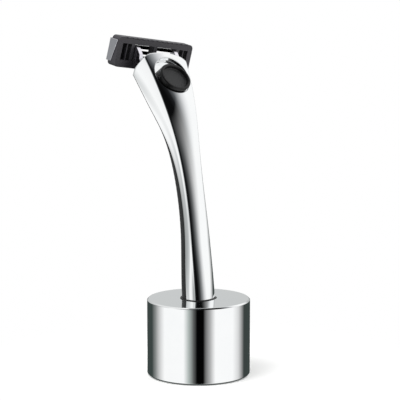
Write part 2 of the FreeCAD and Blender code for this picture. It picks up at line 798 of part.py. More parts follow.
def release_arm(name, hand):
    """A chromed arm: a leg in the head, an end plate in the window and the pivot pin."""
    body = new_body(name, IN_HEAD)
    outer = hand * size("arm_outer")
    inner = hand * (size("arm_outer") - size("arm_width"))
    rear_outer = hand * size("arm_rear_outer")
    rear_inner = hand * (size("arm_rear_outer") - size("arm_width"))
    rear = -size("arm_rear")
    knee = -size("arm_knee")
    leg = new_sketch(body, plan(number("arm_under")))
    root = size("arm_root")
    points = [
        (rear_inner, rear), (rear_outer, rear), (outer, knee), (outer, root), (inner, root),
        (inner, knee),
    ]
    outline(leg, points)
    pad(body, leg, size("arm_under") + size("arm_top"))
    peg = new_sketch(body, plan(0.0))
    circle(peg, hand * size("peg_across"), -size("peg_along"), size("peg_radius"))
    pad(body, peg, size("slider_top") - size("free_gap"))
    plate = new_sketch(body, side(float(inner.value)))
    forward = size("pivot_forward")
    out = size("pivot_out")
    top = -size("arm_top")
    low = size("arm_under")
    boss = size("boss_radius")
    points = [
        (top, -1.0), (low, -1.0), (low, 0.6), (forward + boss * 0.43, out - boss * 0.9),
        (forward - boss * 0.57, out + boss * 0.82), (-0.4, out + 2.47), (-1.3, out + 2.47),
        (-2.0, out + 1.07), (-2.0, 2.6), (top, 1.2),
    ]
    outline(plate, points, {3: boss * -1.002})
    pad(body, plate, size("arm_width"), against=hand < 0)
    pin = new_sketch(body, side(float(outer.value)))
    circle(pin, forward, out, size("pin_radius"))
    pad(body, pin, size("pin_length"), against=hand < 0)


def pivot_plunger():
    """The sprung rod that pushes on the cartridge's middle rib."""
    body = new_body("pivot_plunger", IN_HEAD)
    rod = size("plunger_radius")
    collar = size("collar_radius")
    step = -size("bore_step") - 0.3
    nose = size("plunger_nose")
    sketch = new_sketch(body, side(0.0, Placement(Vector(0, number("plunger_depth"), 0), Rotation())))
    points = [
        (0.0, step - 3.0), (0.5, step - 3.0), (0.5, step - 1.0), (collar, step - 1.0),
        (collar, step), (rod, step), (rod, nose), (rod * 0.6, nose + rod * 0.8),
        (0.0, nose + rod * 0.8),
    ]
    outline(sketch, points, {6: -rod})
    revolve(body, sketch)


def plunger_spring():
    """The plunger's coil, seated on its spigot."""
    place = IN_HEAD * Placement(Vector(0, number("plunger_depth"), 0), Rotation())
    body = new_body("plunger_spring", place)
    start = -size("bore_rear") + 0.2
    length = size("bore_rear") - size("bore_step") - 1.8
    helix(body, size("plunger_coil"), size("spring_wire") / 2, start, length, 11.0)


def button_spring():
    """The coil that pushes the button back down to its rest."""
    place = IN_HEAD * Placement(Vector(0, -number("button_spring_depth"), 0), Rotation())
    body = new_body("button_spring", place)
    start = -size("stem_front") + 0.2
    length = size("stem_front") - size("wall_rear") - 0.4
    helix(body, size("button_coil"), size("spring_wire") / 2, start, length, 6.0)


# ---------------------------------------------------------------- cartridge


def cartridge_frame():
    """The moulded housing with its windows, ribs and the two bearing lugs."""
    body = new_body("cartridge_frame", IN_CARTRIDGE)
    half = size("cartridge_half")
    tall = size("cartridge_half_height")
    depth = size("frame_depth")
    block = new_sketch(body, plan(number("frame_depth")))
    rectangle(block, -half, half, -tall, tall)
    solid = pad(body, block, depth)
    width = number("cartridge_half")

    def corner(edge):
        box = edge.BoundBox
        return box.YLength > 1.0 and abs(abs(box.XMin) - width) < 1e-3 and box.XLength < 1e-3

    soften(body, solid, corner, size("frame_corner"))
    bottom = -size("window_bottom")
    top = size("window_top")
    cells = [
        (size("rib_half"), size("lug_inner")),
        (size("lug_outer"), size("side_rib_inner")),
        (size("side_rib_outer"), size("window_end")),
    ]
    windows = new_sketch(body, plan(number("frame_depth")))
    for near, far in cells:
        rectangle(windows, near, far, bottom, top)
        rectangle(windows, -far, -near, bottom, top)
    pocket(body, windows, along=True)
    beds = [
        (size("blade_bed_half"), -size("blade_bed_bottom"), size("blade_bed_top"), size("blade_bed")),
        (size("guard_half"), -size("guard_bottom"), -size("guard_top"), size("guard_bed")),
        (size("strip_half"), size("strip_bottom"), size("strip_top"), size("strip_bed")),
    ]
    for bed_half, bed_bottom, bed_top, bed_floor in beds:
        bed = new_sketch(body, plan(number("frame_depth")))
        rectangle(bed, -bed_half, bed_half, bed_bottom, bed_top)
        pocket(body, bed, depth=depth - bed_floor, along=True)
    bores = new_sketch(body, side(0.0))
    circle(bores, size("pivot_depth"), -size("pivot_drop"), size("pin_radius") + size("free_gap"))
    pocket(body, bores, depth=size("lug_outer") * 2 + 0.2, symmetric=True)
    notch = new_sketch(body, level(number("cartridge_half_height")))
    reach = size("notch_reach")
    start = -6 * size("notch_pitch") - size("notch_width") / 2
    rectangle(notch, start, start + size("notch_width"), -0.5, reach)
    first = pocket(body, notch, depth=size("notch_depth"))
    repeat(body, first, notch, "H_Axis", 12 * size("notch_pitch"), 13)


def guard_fins():
    """The rubber strip ahead of the blades, with its fins."""
    body = new_body("guard_fins", IN_CARTRIDGE)
    half = size("guard_half") - size("free_gap")
    bottom = -size("guard_bottom") + size("free_gap")
    top = -size("guard_top") - size("free_gap")
    front = size("frame_depth")
    base = new_sketch(body, plan(number("frame_depth")))
    rectangle(base, -half, half, bottom, top)
    pad(body, base, front - size("guard_bed") - size("free_gap"))
    fin = new_sketch(body, plan((front + size("fin_height")).value))
    rectangle(fin, -half, half, bottom + size("fit_gap"), bottom + size("fit_gap") + size("fin_thickness"))
    first = pad(body, fin, size("fin_height") + size("fit_gap"))
    repeat(body, first, fin, "V_Axis", 3 * size("fin_pitch"), 4)


def blade(name, row):
    """A bent steel strip: a foot across the bed and an edge that slants to the skin."""
    body = new_body(name, IN_CARTRIDGE)
    middle = (row - 1) * size("blade_pitch") + 0.25
    bed = size("blade_bed") + size("free_gap")
    thick = size("blade_thickness")
    sketch = new_sketch(body, side(0.0))
    points = [
        (bed, middle + 0.35), (bed + 0.67, middle + 0.35), (bed + 1.45, middle - 1.0),
        (bed + 1.6, middle - 0.95), (bed + 0.8, middle + 0.35 + thick), (bed, middle + 0.35 + thick),
    ]
    outline(sketch, points)
    pad(body, sketch, size("blade_half") * 2, symmetric=True)


def lubricating_strip():
    """The soft strip behind the blades, with a sloping front."""
    body = new_body("lubricating_strip", IN_CARTRIDGE)
    bottom = size("strip_bottom") + size("free_gap")
    top = size("strip_top") - size("free_gap")
    bed = size("strip_bed") + size("free_gap")
    front = size("strip_front")
    sketch = new_sketch(body, side(0.0))
    points = [(bed, bottom), (front, bottom), (front - 0.35, top), (bed, top)]
    outline(sketch, points)
    pad(body, sketch, (size("strip_half") - size("free_gap")) * 2, symmetric=True)


def end_clip(name, hand):
    """A thin metal clip over one end: it holds the blades down on their bed."""
    body = new_body(name, IN_CARTRIDGE)
    inside = hand * (size("cartridge_half") + size("press_gap"))
    outside = inside + hand * size("clip_thickness")
    tab = hand * size("clip_inner")
    back = size("clip_back")
    front = size("clip_front")
    face = front + size("clip_thickness")
    sketch = new_sketch(body, level(-number("clip_bottom")))
    points = [(inside, back), (outside, back), (outside, face), (tab, face), (tab, front), (inside, front)]
    outline(sketch, points)
    pad(body, sketch, size("clip_bottom") + size("clip_top"))


# ---------------------------------------------------------------- build, check and write


def build():
    stand_shell()
    stand_weight()
    socket_liner()
    stand_base_plate()
    base_screws()
    stand_foot_pad()
    handle_shell()
    back_grip()
    arm_carrier()
    carrier_screw()
    release_button()
    button_slider()
    button_spring()
    release_arm("arm_left", -1)
    release_arm("arm_right", 1)
    pivot_plunger()
    plunger_spring()
    cartridge_frame()
    guard_fins()
    for row in range(3):
        blade(f"blade_{row + 1}", row)
    lubricating_strip()
    end_clip("clip_left", -1)
    end_clip("clip_right", 1)


def check():
    """Stop if any object failed or any node is not a sound solid."""
    for item in doc.Objects:
        bad = [state for state in item.State if state in ("Invalid", "Error")]
        if bad:
            raise RuntimeError(f"{item.Name}: {bad}")
    for node in NODES:
        if node.Shape.isNull() or not node.Shape.isValid() or not node.Shape.Solids:
            raise RuntimeError(f"{node.Label}: the shape is not sound")


def write():
    for node in NODES:
        node.Shape.exportStep(f"parts/{node.Label}.step")
        print(f"{node.Label}: {len(node.Shape.Solids)} solid, {node.Shape.Volume:.1f} mm3")


def describe_joints():
    """Print the joint frames in metres, for the record."""
    slide = SOCKET.Rotation.multVec(Vector(0, 0, 1))
    head = IN_HEAD.Rotation.multVec(Vector(0, 0, 1))
    across = IN_HEAD.Rotation.multVec(Vector(1, 0, 0))
    pivot = (RAZOR * PIVOT).Base
    nose = IN_HEAD.multVec(Vector(0, number("plunger_depth"), number("plunger_nose")))
    button = IN_HEAD.multVec(Vector(0, -number("button_top"), -number("button_middle")))
    for title, vector, scale in (
        ("lift axis", slide, 1.0), ("head axis", head, 1.0), ("across", across, 1.0),
        ("pivot", pivot, 0.001), ("plunger", nose, 0.001), ("button", button, 0.001),
    ):
        print(title, [round(value * scale, 6) for value in vector])


build()
doc.recompute()
check()
write()
describe_joints()
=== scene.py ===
"""Look model of a cartridge razor that stands in a weighted chrome stand.

Lengths in this file are millimetres in the part's own frames; meshes are written in metres.
The row frame's origin is the centre of the stand's underside, with +Z up, the button side
looking to -Y and the blades to +Y.
"""

import logging
import math
from dataclasses import dataclass, field
from enum import Enum
from typing import Callable, Optional, Sequence

import bmesh
import bpy
import numpy as np
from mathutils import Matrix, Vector


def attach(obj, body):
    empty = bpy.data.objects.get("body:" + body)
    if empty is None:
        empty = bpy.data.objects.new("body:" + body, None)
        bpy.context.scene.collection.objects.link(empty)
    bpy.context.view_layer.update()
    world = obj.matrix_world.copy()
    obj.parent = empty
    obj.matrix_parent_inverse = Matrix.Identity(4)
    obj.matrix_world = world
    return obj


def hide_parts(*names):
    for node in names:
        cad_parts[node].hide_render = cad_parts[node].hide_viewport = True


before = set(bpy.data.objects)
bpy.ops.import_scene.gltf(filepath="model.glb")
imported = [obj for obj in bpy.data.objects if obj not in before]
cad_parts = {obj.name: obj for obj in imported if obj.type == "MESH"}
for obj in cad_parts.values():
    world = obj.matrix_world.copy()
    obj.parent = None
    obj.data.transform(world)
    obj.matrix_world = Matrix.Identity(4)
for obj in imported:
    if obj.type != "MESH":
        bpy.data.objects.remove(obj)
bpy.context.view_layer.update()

Array = np.ndarray
LOG = logging.getLogger("razor")
MM = 0.001
MERGE = 0.002 * MM
# a rounding takes at most this share of the way to the next ring, and the ring that keeps the
# flat beside it flat stands this many radii out
ROUND_SHARE = 0.4
FLAT_GUARD = 1.3


# ------------------------------------------------------------------ frames


class Axis(Enum):
    """A turning axis."""

    X = 0
    Y = 1
    Z = 2


def turn(axis: Axis, degrees: float) -> Array:
    """A right-handed turn about one axis, as a 4 x 4 matrix."""
    cosine, sine = math.cos(math.radians(degrees)), math.sin(math.radians(degrees))
    first, second = (axis.value + 1) % 3, (axis.value + 2) % 3
    matrix = np.eye(4)
    matrix[first, first] = matrix[second, second] = cosine
    matrix[first, second], matrix[second, first] = -sine, sine
    return matrix


@dataclass(frozen=True)
class Place:
    """A frame in millimetres, held as a 4 x 4 matrix."""

    matrix: Array = field(default_factory=lambda: np.eye(4))

    def moved(self, x: float = 0.0, y: float = 0.0, z: float = 0.0) -> "Place":
        """This frame shifted along its own axes."""
        shift = np.eye(4)
        shift[:3, 3] = (x, y, z)
        return Place(self.matrix @ shift)

    def turned(self, axis: Axis, degrees: float) -> "Place":
        """This frame turned about one of its own axes."""
        return Place(self.matrix @ turn(axis, degrees))

    def points(self, local: Array) -> Array:
        """Points of this frame, in the frame above it."""
        return local @ self.matrix[:3, :3].T + self.matrix[:3, 3]

    def local(self, points: Array) -> Array:
        """Points of the frame above, in this frame."""
        return (points - self.matrix[:3, 3]) @ self.matrix[:3, :3]


@dataclass(frozen=True)
class Spine:
    """The handle's middle line: straight, then one arc, then straight again."""

    lean: float = 13.0
    head: float = 36.0
    bend_start: float = 21.0
    bend_end: float = 94.0

    @property
    def radius(self) -> float:
        """The arc's radius."""
        return (self.bend_end - self.bend_start) / math.radians(self.head - self.lean)

    def points(self, along: Array, across: Array, depth: Array) -> Array:
        """Points of the section at a distance along the line, in the razor's frame.

        The section's own y lies square to the line toward the blade side, so a point is the
        line's point plus across along X and depth along (0, cos, -sin) of the line's lean.

        Args:
            along: Distance up the handle from the mouth of the stand.
            across: Distance to the side.
            depth: Distance toward the blade side.

        Returns:
            Points in the razor's frame, with one axis more than the inputs.
        """
        along, across, depth = np.broadcast_arrays(along, across, depth)
        start = math.radians(self.lean)
        straight = np.minimum(along, self.bend_start)
        angle = start + (np.clip(along, self.bend_start, self.bend_end) - self.bend_start) / self.radius
        rest = np.maximum(0.0, along - self.bend_end)
        y = straight * math.sin(start) + self.radius * (math.cos(start) - np.cos(angle))
        z = straight * math.cos(start) + self.radius * (np.sin(angle) - math.sin(start))
        y = y + rest * np.sin(angle) + depth * np.cos(angle)
        z = z + rest * np.cos(angle) - depth * np.sin(angle)
        return np.stack([across, y, z], axis=-1)

    def place(self, along: float) -> Place:
        """The section's frame at a distance along the line."""
        angle = self.lean + math.degrees(
            (min(max(along, self.bend_start), self.bend_end) - self.bend_start) / self.radius
        )
        x, y, z = self.points(np.array(along), np.array(0.0), np.array(0.0))
        return Place().moved(x, y, z).turned(Axis.X, -angle)


SPINE = Spine()
STAND_TOP = 30.0
RAZOR = Place().moved(z=STAND_TOP).turned(Axis.Y, 7.5)
HEAD_ALONG = 97.0
HEAD_IN_RAZOR = SPINE.place(HEAD_ALONG)
HEAD = Place(RAZOR.matrix @ HEAD_IN_RAZOR.matrix)
SOCKET = Place(RAZOR.matrix @ SPINE.place(0.0).matrix)
CARTRIDGE = HEAD.moved(0.0, 2.89, 4.93).turned(Axis.X, 46.0).moved(0.0, -1.5, 1.5)


# ------------------------------------------------------------------ meshes


class Skin:
    """Grids, fans and faces that become one closed mesh."""

    def __init__(self) -> None:
        """Start with nothing."""
        self.points: list[Array] = []
        self.faces: list[list[int]] = []
        self.count = 0

    def add(self, points: Array, faces: Sequence[Sequence[int]]) -> None:
        """Add loose points in the row frame, and faces that number them from nought."""
        flat = np.asarray(points, float).reshape(-1, 3)
        self.points.append(flat)
        self.faces.extend((np.asarray(face) + self.count).tolist() for face in faces)
        self.count += len(flat)

    def grid(self, points: Array, around: bool = False, over: bool = False) -> None:
        """Join a grid of points with quads.

        Args:
            points: Rows x columns x 3.
            around: True if the last column joins the first.
            over: True if the last row joins the first.
        """
        rows, columns = points.shape[:2]
        number = np.arange(rows * columns).reshape(rows, columns)
        if around:
            number = np.concatenate([number, number[:, :1]], axis=1)
        if over:
            number = np.concatenate([number, number[:1]], axis=0)
        quads = np.stack(
            [number[:-1, :-1], number[:-1, 1:], number[1:, 1:], number[1:, :-1]], axis=-1
        )
        self.add(points, quads.reshape(-1, 4))

    def fan(self, ring: Array, centre: Optional[Array] = None) -> None:
        """Close a ring of points with triangles to its middle."""
        middle = ring.mean(axis=0) if centre is None else centre
        number = np.arange(len(ring))
        faces = np.stack([number, np.roll(number, -1), np.full(len(ring), len(ring))], axis=-1)
        self.add(np.vstack([ring, middle]), faces)

    def prism(self, low: Array, high: Array) -> None:
        """Two equal rings joined by quads, each closed by one flat face."""
        count = len(low)
        number = np.arange(count)
        following = np.roll(number, -1)
        sides = np.stack([number, following, following + count, number + count], axis=-1)
        self.add(np.vstack([low, high]), sides)
        self.add(low, [number])
        self.add(high, [number])

    def piece(self, name: str, finish: "Finish", crisp: float = 32.0) -> bpy.types.Object:
        """The finished mesh as an object at the origin.

        Points closer than the merging distance become one, faces are turned outward, and an
        edge sharper than crisp degrees stays sharp in the shading.
        """
        mesh = bpy.data.meshes.new(name)
        mesh.from_pydata(np.concatenate(self.points) * MM, [], self.faces)
        work = bmesh.new()
        work.from_mesh(mesh)
        bmesh.ops.remove_doubles(work, verts=work.verts, dist=MERGE)
        bmesh.ops.dissolve_degenerate(work, edges=work.edges, dist=MERGE / 10)
        bmesh.ops.recalc_face_normals(work, faces=work.faces)
        work.to_mesh(mesh)
        work.free()
        mesh.polygons.foreach_set("use_smooth", np.ones(len(mesh.polygons), bool))
        mesh.set_sharp_from_angle(angle=math.radians(crisp))
        mesh.materials.append(finish.material())
        made = bpy.data.objects.new(name, mesh)
        bpy.context.scene.collection.objects.link(made)
        return made


def bevel(made: bpy.types.Object, width: float, segments: int = 2) -> None:
    """Round a piece's sharp edges by a modifier and level the flats' shading."""
    edge = made.modifiers.new("edges", "BEVEL")
    edge.width = width * MM
    edge.segments = segments
    edge.limit_method = "ANGLE"
    edge.angle_limit = math.radians(30.0)
    edge.harden_normals = True


def softened(rows: Sequence[Array], radii: Sequence[float], steps: int = 4) -> Array:
    """A stack of rings whose corners are rounded.

    Each inner ring that has a radius r gives way to the curve (1-t)^2 a + 2t(1-t) b + t^2 c,
    where b is the ring and a and c lie r before and after it along the way to its neighbours.
    A further ring 0.3 r out on each side keeps the flats flat in the shading.

    Args:
        rows: Rings of equal length, in order.
        radii: One radius for each ring; nought leaves it as it is.
        steps: How many strips the rounding has.

    Returns:
        Rows x points x 3.
    """
    stack = []
    for index, (ring, radius) in enumerate(zip(rows, radii)):
        if radius <= 0.0 or index in (0, len(rows) - 1):
            stack.append(ring)
            continue
        ways = []
        for other in (rows[index - 1], rows[index + 1]):
            way = other - ring
            length = np.maximum(np.linalg.norm(way, axis=-1, keepdims=True), 1e-9)
            ways.append((way / length, np.minimum(radius, ROUND_SHARE * length)))
        before, after = (ring + way * reach for way, reach in ways)
        stack.append(ring + ways[0][0] * ways[0][1] * FLAT_GUARD)
        for share in np.linspace(0.0, 1.0, steps + 1):
            stack.append(
                (1 - share) ** 2 * before + 2 * share * (1 - share) * ring + share**2 * after
            )
        stack.append(ring + ways[1][0] * ways[1][1] * FLAT_GUARD)
    return np.stack(stack)


def lathe(profile: Sequence[tuple[float, float]], place: Place, count: int) -> list[Array]:
    """Rings of (radius, height) round the frame's z axis."""
    angles = np.linspace(0.0, 2 * np.pi, count, endpoint=False)
    circle = np.stack([np.cos(angles), np.sin(angles)], axis=-1)
    return [
        place.points(np.column_stack([circle * radius, np.full(count, height)]))
        for radius, height in profile
    ]


def carve(breaks: Sequence[Array], solid: Callable[[Array, Array, Array], Array]) -> tuple:
    """The skin of a set of blocks between planes.

    A block between neighbouring planes is kept where solid is true at its middle, and every
    side between a kept block and an empty one becomes a face.

    Args:
        breaks: Where the planes stand on x, y and z.
        solid: Whether the material fills the points x, y, z.

    Returns:
        Points (n x 3) and quads (m x 4).
    """
    middles = [(b[1:] + b[:-1]) / 2 for b in breaks]
    filled = np.pad(solid(*np.meshgrid(*middles, indexing="ij")), 1)
    shape = [len(b) for b in breaks]
    quads = []
    for axis in range(3):
        step = np.diff(filled.astype(int), axis=axis)
        trim = [slice(1, -1)] * 3
        trim[axis] = slice(None)
        cells = np.argwhere(step[tuple(trim)] != 0)
        one, two = (axis + 1) % 3, (axis + 2) % 3
        corner = np.repeat(cells[:, None, :], 4, axis=1)
        corner[:, (1, 2), one] += 1
        corner[:, (2, 3), two] += 1
        quads.append(np.ravel_multi_index(tuple(np.moveaxis(corner, -1, 0)), shape))
    used, quads = np.unique(np.concatenate(quads), return_inverse=True)
    where = np.unravel_index(used, shape)
    points = np.stack([b[w] for b, w in zip(breaks, where)], axis=-1)
    return points, quads.reshape(-1, 4)


# ------------------------------------------------------------------ finishes


def linear(code: str) -> tuple[float, float, float, float]:
    """An sRGB hex colour as linear light, with full alpha."""
    parts = [int(code[i : i + 2], 16) / 255 for i in (1, 3, 5)]
    light = [p / 12.92 if p <= 0.04045 else ((p + 0.055) / 1.055) ** 2.4 for p in parts]
    return (*light, 1.0)


def add_node(
    tree: bpy.types.NodeTree, kind: str, inputs: Optional[dict] = None, **settings: object
) -> bpy.types.Node:
    """Add a node, set its fields, and fill or link its inputs.

    Args:
        tree: The tree that gets the node.
        kind: The node's type name.
        inputs: Input name or number to a value, or to the socket that feeds it.
        **settings: The node's own fields.

    Returns:
        The new node.
    """
    node = tree.nodes.new(kind)
    for key, value in settings.items():
        setattr(node, key, value)
    for key, value in (inputs or {}).items():
        if isinstance(value, bpy.types.NodeSocket):
            tree.links.new(value, node.inputs[key])
        else:
            node.inputs[key].default_value = value
    return node


# the clear coat's own roughness, and the part of a fine pattern that moves the roughness
COAT_ROUGHNESS = 0.12
GRAIN_LOW, GRAIN_HIGH = 0.25, 0.75


class Grain(Enum):
    """How a surface's fine pattern runs."""

    CLOUD = "even in all directions"
    SPARK = "the pitted skin of a spark-eroded mould"
    LINES = "drawn out along one direction"


@dataclass(frozen=True)
class Finish:
    """One real finish: what it is made of, how it was made, and its fine pattern."""

    name: str
    colour: str
    tone: str
    roughness: float
    spread: float = 0.08
    metallic: float = 0.0
    grain: Grain = Grain.CLOUD
    pitch: float = 1.0
    relief: float = 0.0
    stretch: tuple[float, float, float] = (1.0, 1.0, 1.0)
    blotch: float = 6.0
    coat: float = 0.0
    sheen: float = 0.0
    specular: float = 0.5

    def material(self) -> bpy.types.Material:
        """The finish as a material, made once.

        Broad noise of size blotch mixes the two colours; the fine pattern of size pitch
        moves the roughness by spread and lifts the surface by relief.
        """
        found = bpy.data.materials.get(self.name)
        if found:
            return found
        made = bpy.data.materials.new(self.name)
        made.use_nodes = True
        tree = made.node_tree
        shader = tree.nodes["Principled BSDF"]
        where = add_node(tree, "ShaderNodeTexCoord").outputs["Object"]
        broad = add_node(
            tree, "ShaderNodeTexNoise",
            {"Vector": where, "Scale": 1.0 / (self.blotch * MM), "Detail": 3.0},
        )
        shade = add_node(
            tree, "ShaderNodeMix",
            {0: broad.outputs["Fac"], 6: linear(self.colour), 7: linear(self.tone)},
            data_type="RGBA",
        )
        tree.links.new(shade.outputs[2], shader.inputs["Base Color"])
        laid = add_node(tree, "ShaderNodeMapping", {"Vector": where, "Scale": self.stretch})
        fine_inputs = {"Vector": laid.outputs[0], "Scale": 1.0 / (self.pitch * MM)}
        if self.grain is Grain.SPARK:
            fine = add_node(tree, "ShaderNodeTexVoronoi", fine_inputs, feature="SMOOTH_F1")
            height = fine.outputs["Distance"]
        else:
            detail = 2.0 if self.grain is Grain.CLOUD else 4.0
            fine = add_node(tree, "ShaderNodeTexNoise", {**fine_inputs, "Detail": detail})
            height = fine.outputs["Fac"]
        rough = add_node(
            tree, "ShaderNodeMapRange",
            {
                "Value": height, "From Min": GRAIN_LOW, "From Max": GRAIN_HIGH,
                "To Min": max(0.0, self.roughness - self.spread / 2),
                "To Max": self.roughness + self.spread / 2,
            },
        )
        tree.links.new(rough.outputs[0], shader.inputs["Roughness"])
        if self.relief > 0.0:
            bump = add_node(
                tree, "ShaderNodeBump",
                {"Height": height, "Strength": 1.0, "Distance": self.relief * MM},
            )
            tree.links.new(bump.outputs[0], shader.inputs["Normal"])
        shader.inputs["Metallic"].default_value = self.metallic
        shader.inputs["Coat Weight"].default_value = self.coat
        shader.inputs["Coat Roughness"].default_value = COAT_ROUGHNESS
        shader.inputs["Sheen Weight"].default_value = self.sheen
        if self.metallic < 0.5:
            shader.inputs["Specular IOR Level"].default_value = self.specular
        return made


# Bright chrome plate over a buffed zinc casting: a clean mirror with a barely wavy skin.
CHROME = Finish(
    "bright_chrome_plate", "#fbfcfc", "#f5f7f8", 0.03, 0.03, 1.0,
    pitch=0.35, relief=0.0002, blotch=9.0,
)
# Black ABS from a spark-eroded mould: dark grey, satin, with a fine pitted skin.
FRAME_PLASTIC = Finish(
    "moulded_abs_dark_grey", "#39373c", "#333136", 0.45, 0.16,
    grain=Grain.SPARK, pitch=0.22, relief=0.006, blotch=4.0,
)
# Black acetal, moulded smooth: darker and a little glossier than the frame.
BLACK_PLASTIC = Finish(
    "moulded_acetal_black", "#161617", "#1d1d1f", 0.38, 0.1,
    grain=Grain.SPARK, pitch=0.3, relief=0.003, blotch=5.0,
)
# Soft-touch ABS button dish: a fine matt grain, with the black painted lighter, to charcoal, as painted
# light on the dish floor that faces up.
BUTTON_DISH_PAINTED_LIGHT = Finish(
    "moulded_abs_dish_painted_light", "#19191a", "#202122", 0.5, 0.12,
    grain=Grain.SPARK, pitch=0.18, relief=0.004, blotch=3.0, sheen=0.05,
)
# The same button's rim and stem: a glossier black, painted darker than the dish as painted shade round
# it.
BUTTON_RIM_PAINTED_SHADE = Finish(
    "moulded_abs_rim_painted_shade", "#0a0a0b", "#101011", 0.36, 0.1,
    grain=Grain.SPARK, pitch=0.3, relief=0.002, blotch=3.0, specular=0.3,
)
# Thermoplastic rubber, moulded over the grip: deep black with a dull, fine stipple.
GRIP_RUBBER = Finish(
    "moulded_tpe_rubber", "#0e0e0f", "#171718", 0.52, 0.16,
    grain=Grain.SPARK, pitch=0.25, relief=0.006, blotch=7.0, sheen=0.08,
)
# EVA foam foot: open, dusty black with visible cells.
FOOT_RUBBER = Finish(
    "cut_eva_foam", "#1c1c1e", "#2a2a2c", 0.85, 0.1,
    grain=Grain.SPARK, pitch=0.5, relief=0.03, blotch=8.0, sheen=0.1,
)
# Guard rubber: grey-blue elastomer with a dry surface.
GUARD_RUBBER = Finish(
    "moulded_guard_elastomer", "#3a4048", "#454b54", 0.6, 0.12,
    grain=Grain.SPARK, pitch=0.2, relief=0.004, blotch=3.0, sheen=0.1,
)
# Stamped stainless steel, tumbled and polished: bright, with faint drawn lines.
POLISHED_STEEL = Finish(
    "polished_stainless_steel", "#f4f2f8", "#e8e6ee", 0.14, 0.08, 1.0,
    grain=Grain.LINES, pitch=0.12, relief=0.0006, stretch=(0.08, 1.0, 1.0), blotch=3.0,
)
# Hardened strip steel under a black hard-carbon coat, with fine lines along the strip.
BLADE_STEEL = Finish(
    "coated_strip_steel", "#26272a", "#1d1e21", 0.24, 0.12, 1.0,
    grain=Grain.LINES, pitch=0.1, relief=0.0008, stretch=(0.05, 1.0, 1.0), blotch=2.5,
)
# Zinc-plated mild steel: a pale blue-grey with cloudy plating.
ZINC_STEEL = Finish(
    "zinc_plated_steel", "#b4b8bc", "#9aa0a8", 0.34, 0.18, 1.0,
    pitch=0.6, relief=0.002, blotch=2.2,
)
# Grey cast iron from a sand mould: dark, coarse and pitted.
CAST_IRON = Finish(
    "sand_cast_iron", "#3b3b3d", "#52504e", 0.7, 0.2, 0.6,
    grain=Grain.SPARK, pitch=0.7, relief=0.05, blotch=5.0,
)
# Hard-drawn spring wire: brown-grey drawing lines.
SPRING_STEEL = Finish(
    "drawn_spring_wire", "#8d8b88", "#777470", 0.3, 0.14, 1.0,
    grain=Grain.LINES, pitch=0.08, relief=0.0008, stretch=(1.0, 1.0, 0.2), blotch=1.0,
)
# Pressed polymer strip with aloe: waxy pale green with soft mottling.
STRIP_POLYMER = Finish(
    "pressed_lubricating_polymer", "#cfe3d6", "#b4d2c2", 0.4, 0.2,
    pitch=0.35, relief=0.01, blotch=1.2, coat=0.25,
)


def settle(made: bpy.types.Object, body: str, slot: str, *nodes: str) -> bpy.types.Object:
    """Put a piece on its body, in place of its CAD nodes, and report it."""
    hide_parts(*nodes)
    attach(made, body)
    LOG.info("%s: %d faces on %s", made.name, len(made.data.polygons), body)
    return made


# ------------------------------------------------------------------ handle


def spline(knots: Array, values: Array, at: Array) -> Array:
    """A smooth line through knots: level at the first, free at the last.

    The second slopes m solve (h0 m0 + 2 (h0 + h1) m1 + h1 m2) / 6 = the change of the chord's
    slope at each inner knot; before the first knot the value is held.
    """
    gap = np.diff(knots)
    slope = np.diff(values) / gap
    count = len(knots)
    system, right = np.zeros((count, count)), np.zeros(count)
    system[0, :2] = gap[0] / 3, gap[0] / 6
    right[0] = slope[0]
    inner = np.arange(1, count - 1)
    system[inner, inner - 1] = gap[:-1] / 6
    system[inner, inner] = (gap[:-1] + gap[1:]) / 3
    system[inner, inner + 1] = gap[1:] / 6
    right[inner] = np.diff(slope)
    system[-1, -1] = 1.0
    bend = np.linalg.solve(system, right)
    at = np.clip(at, knots[0], knots[-1])
    cell = np.clip(np.searchsorted(knots, at, side="right") - 1, 0, count - 2)
    h = gap[cell]
    a, b = (knots[cell + 1] - at) / h, (at - knots[cell]) / h
    return (
        a * values[cell] + b * values[cell + 1]
        + ((a**3 - a) * bend[cell] + (b**3 - b) * bend[cell + 1]) * h * h / 6
    )


@dataclass(frozen=True)
class Section:
    """The handle's cross-section at any distance along it."""

    knots: tuple = (0.0, 20.0, 40.0, 60.0, 80.0, 100.0)
    crease_half: tuple = (5.1, 5.0, 4.85, 6.0, 8.85, 11.5)
    crease_rise: tuple = (3.9, 3.2, 2.7, 3.3, 4.3, 4.5)
    crown_rise: tuple = (5.4, 4.5, 3.9, 4.5, 5.5, 5.6)
    seam_half: tuple = (6.3, 5.4, 5.1, 6.6, 10.4, 13.9)
    seam_drop: tuple = (0.3, 0.4, 0.5, 1.1, 2.9, 3.2)
    belly_drop: tuple = (6.5, 5.9, 5.5, 5.4, 5.1, 4.4)

    def size(self, field_name: str, along: Array) -> Array:
        """One of the section's sizes at a distance along the handle."""
        values = np.array(getattr(self, field_name))
        return spline(np.array(self.knots), values, np.asarray(along, float))

    def crown(self, along: Array, across: Array) -> Array:
        """The face's depth: an arc over the chord between the creases."""
        half, rise = self.size("crease_half", along), self.size("crease_rise", along)
        top = self.size("crown_rise", along)
        radius = (half**2 + (top - rise) ** 2) / (2 * (top - rise))
        return -top + radius - np.sqrt(np.maximum(radius**2 - across**2, 0.0))


SECTION = Section()


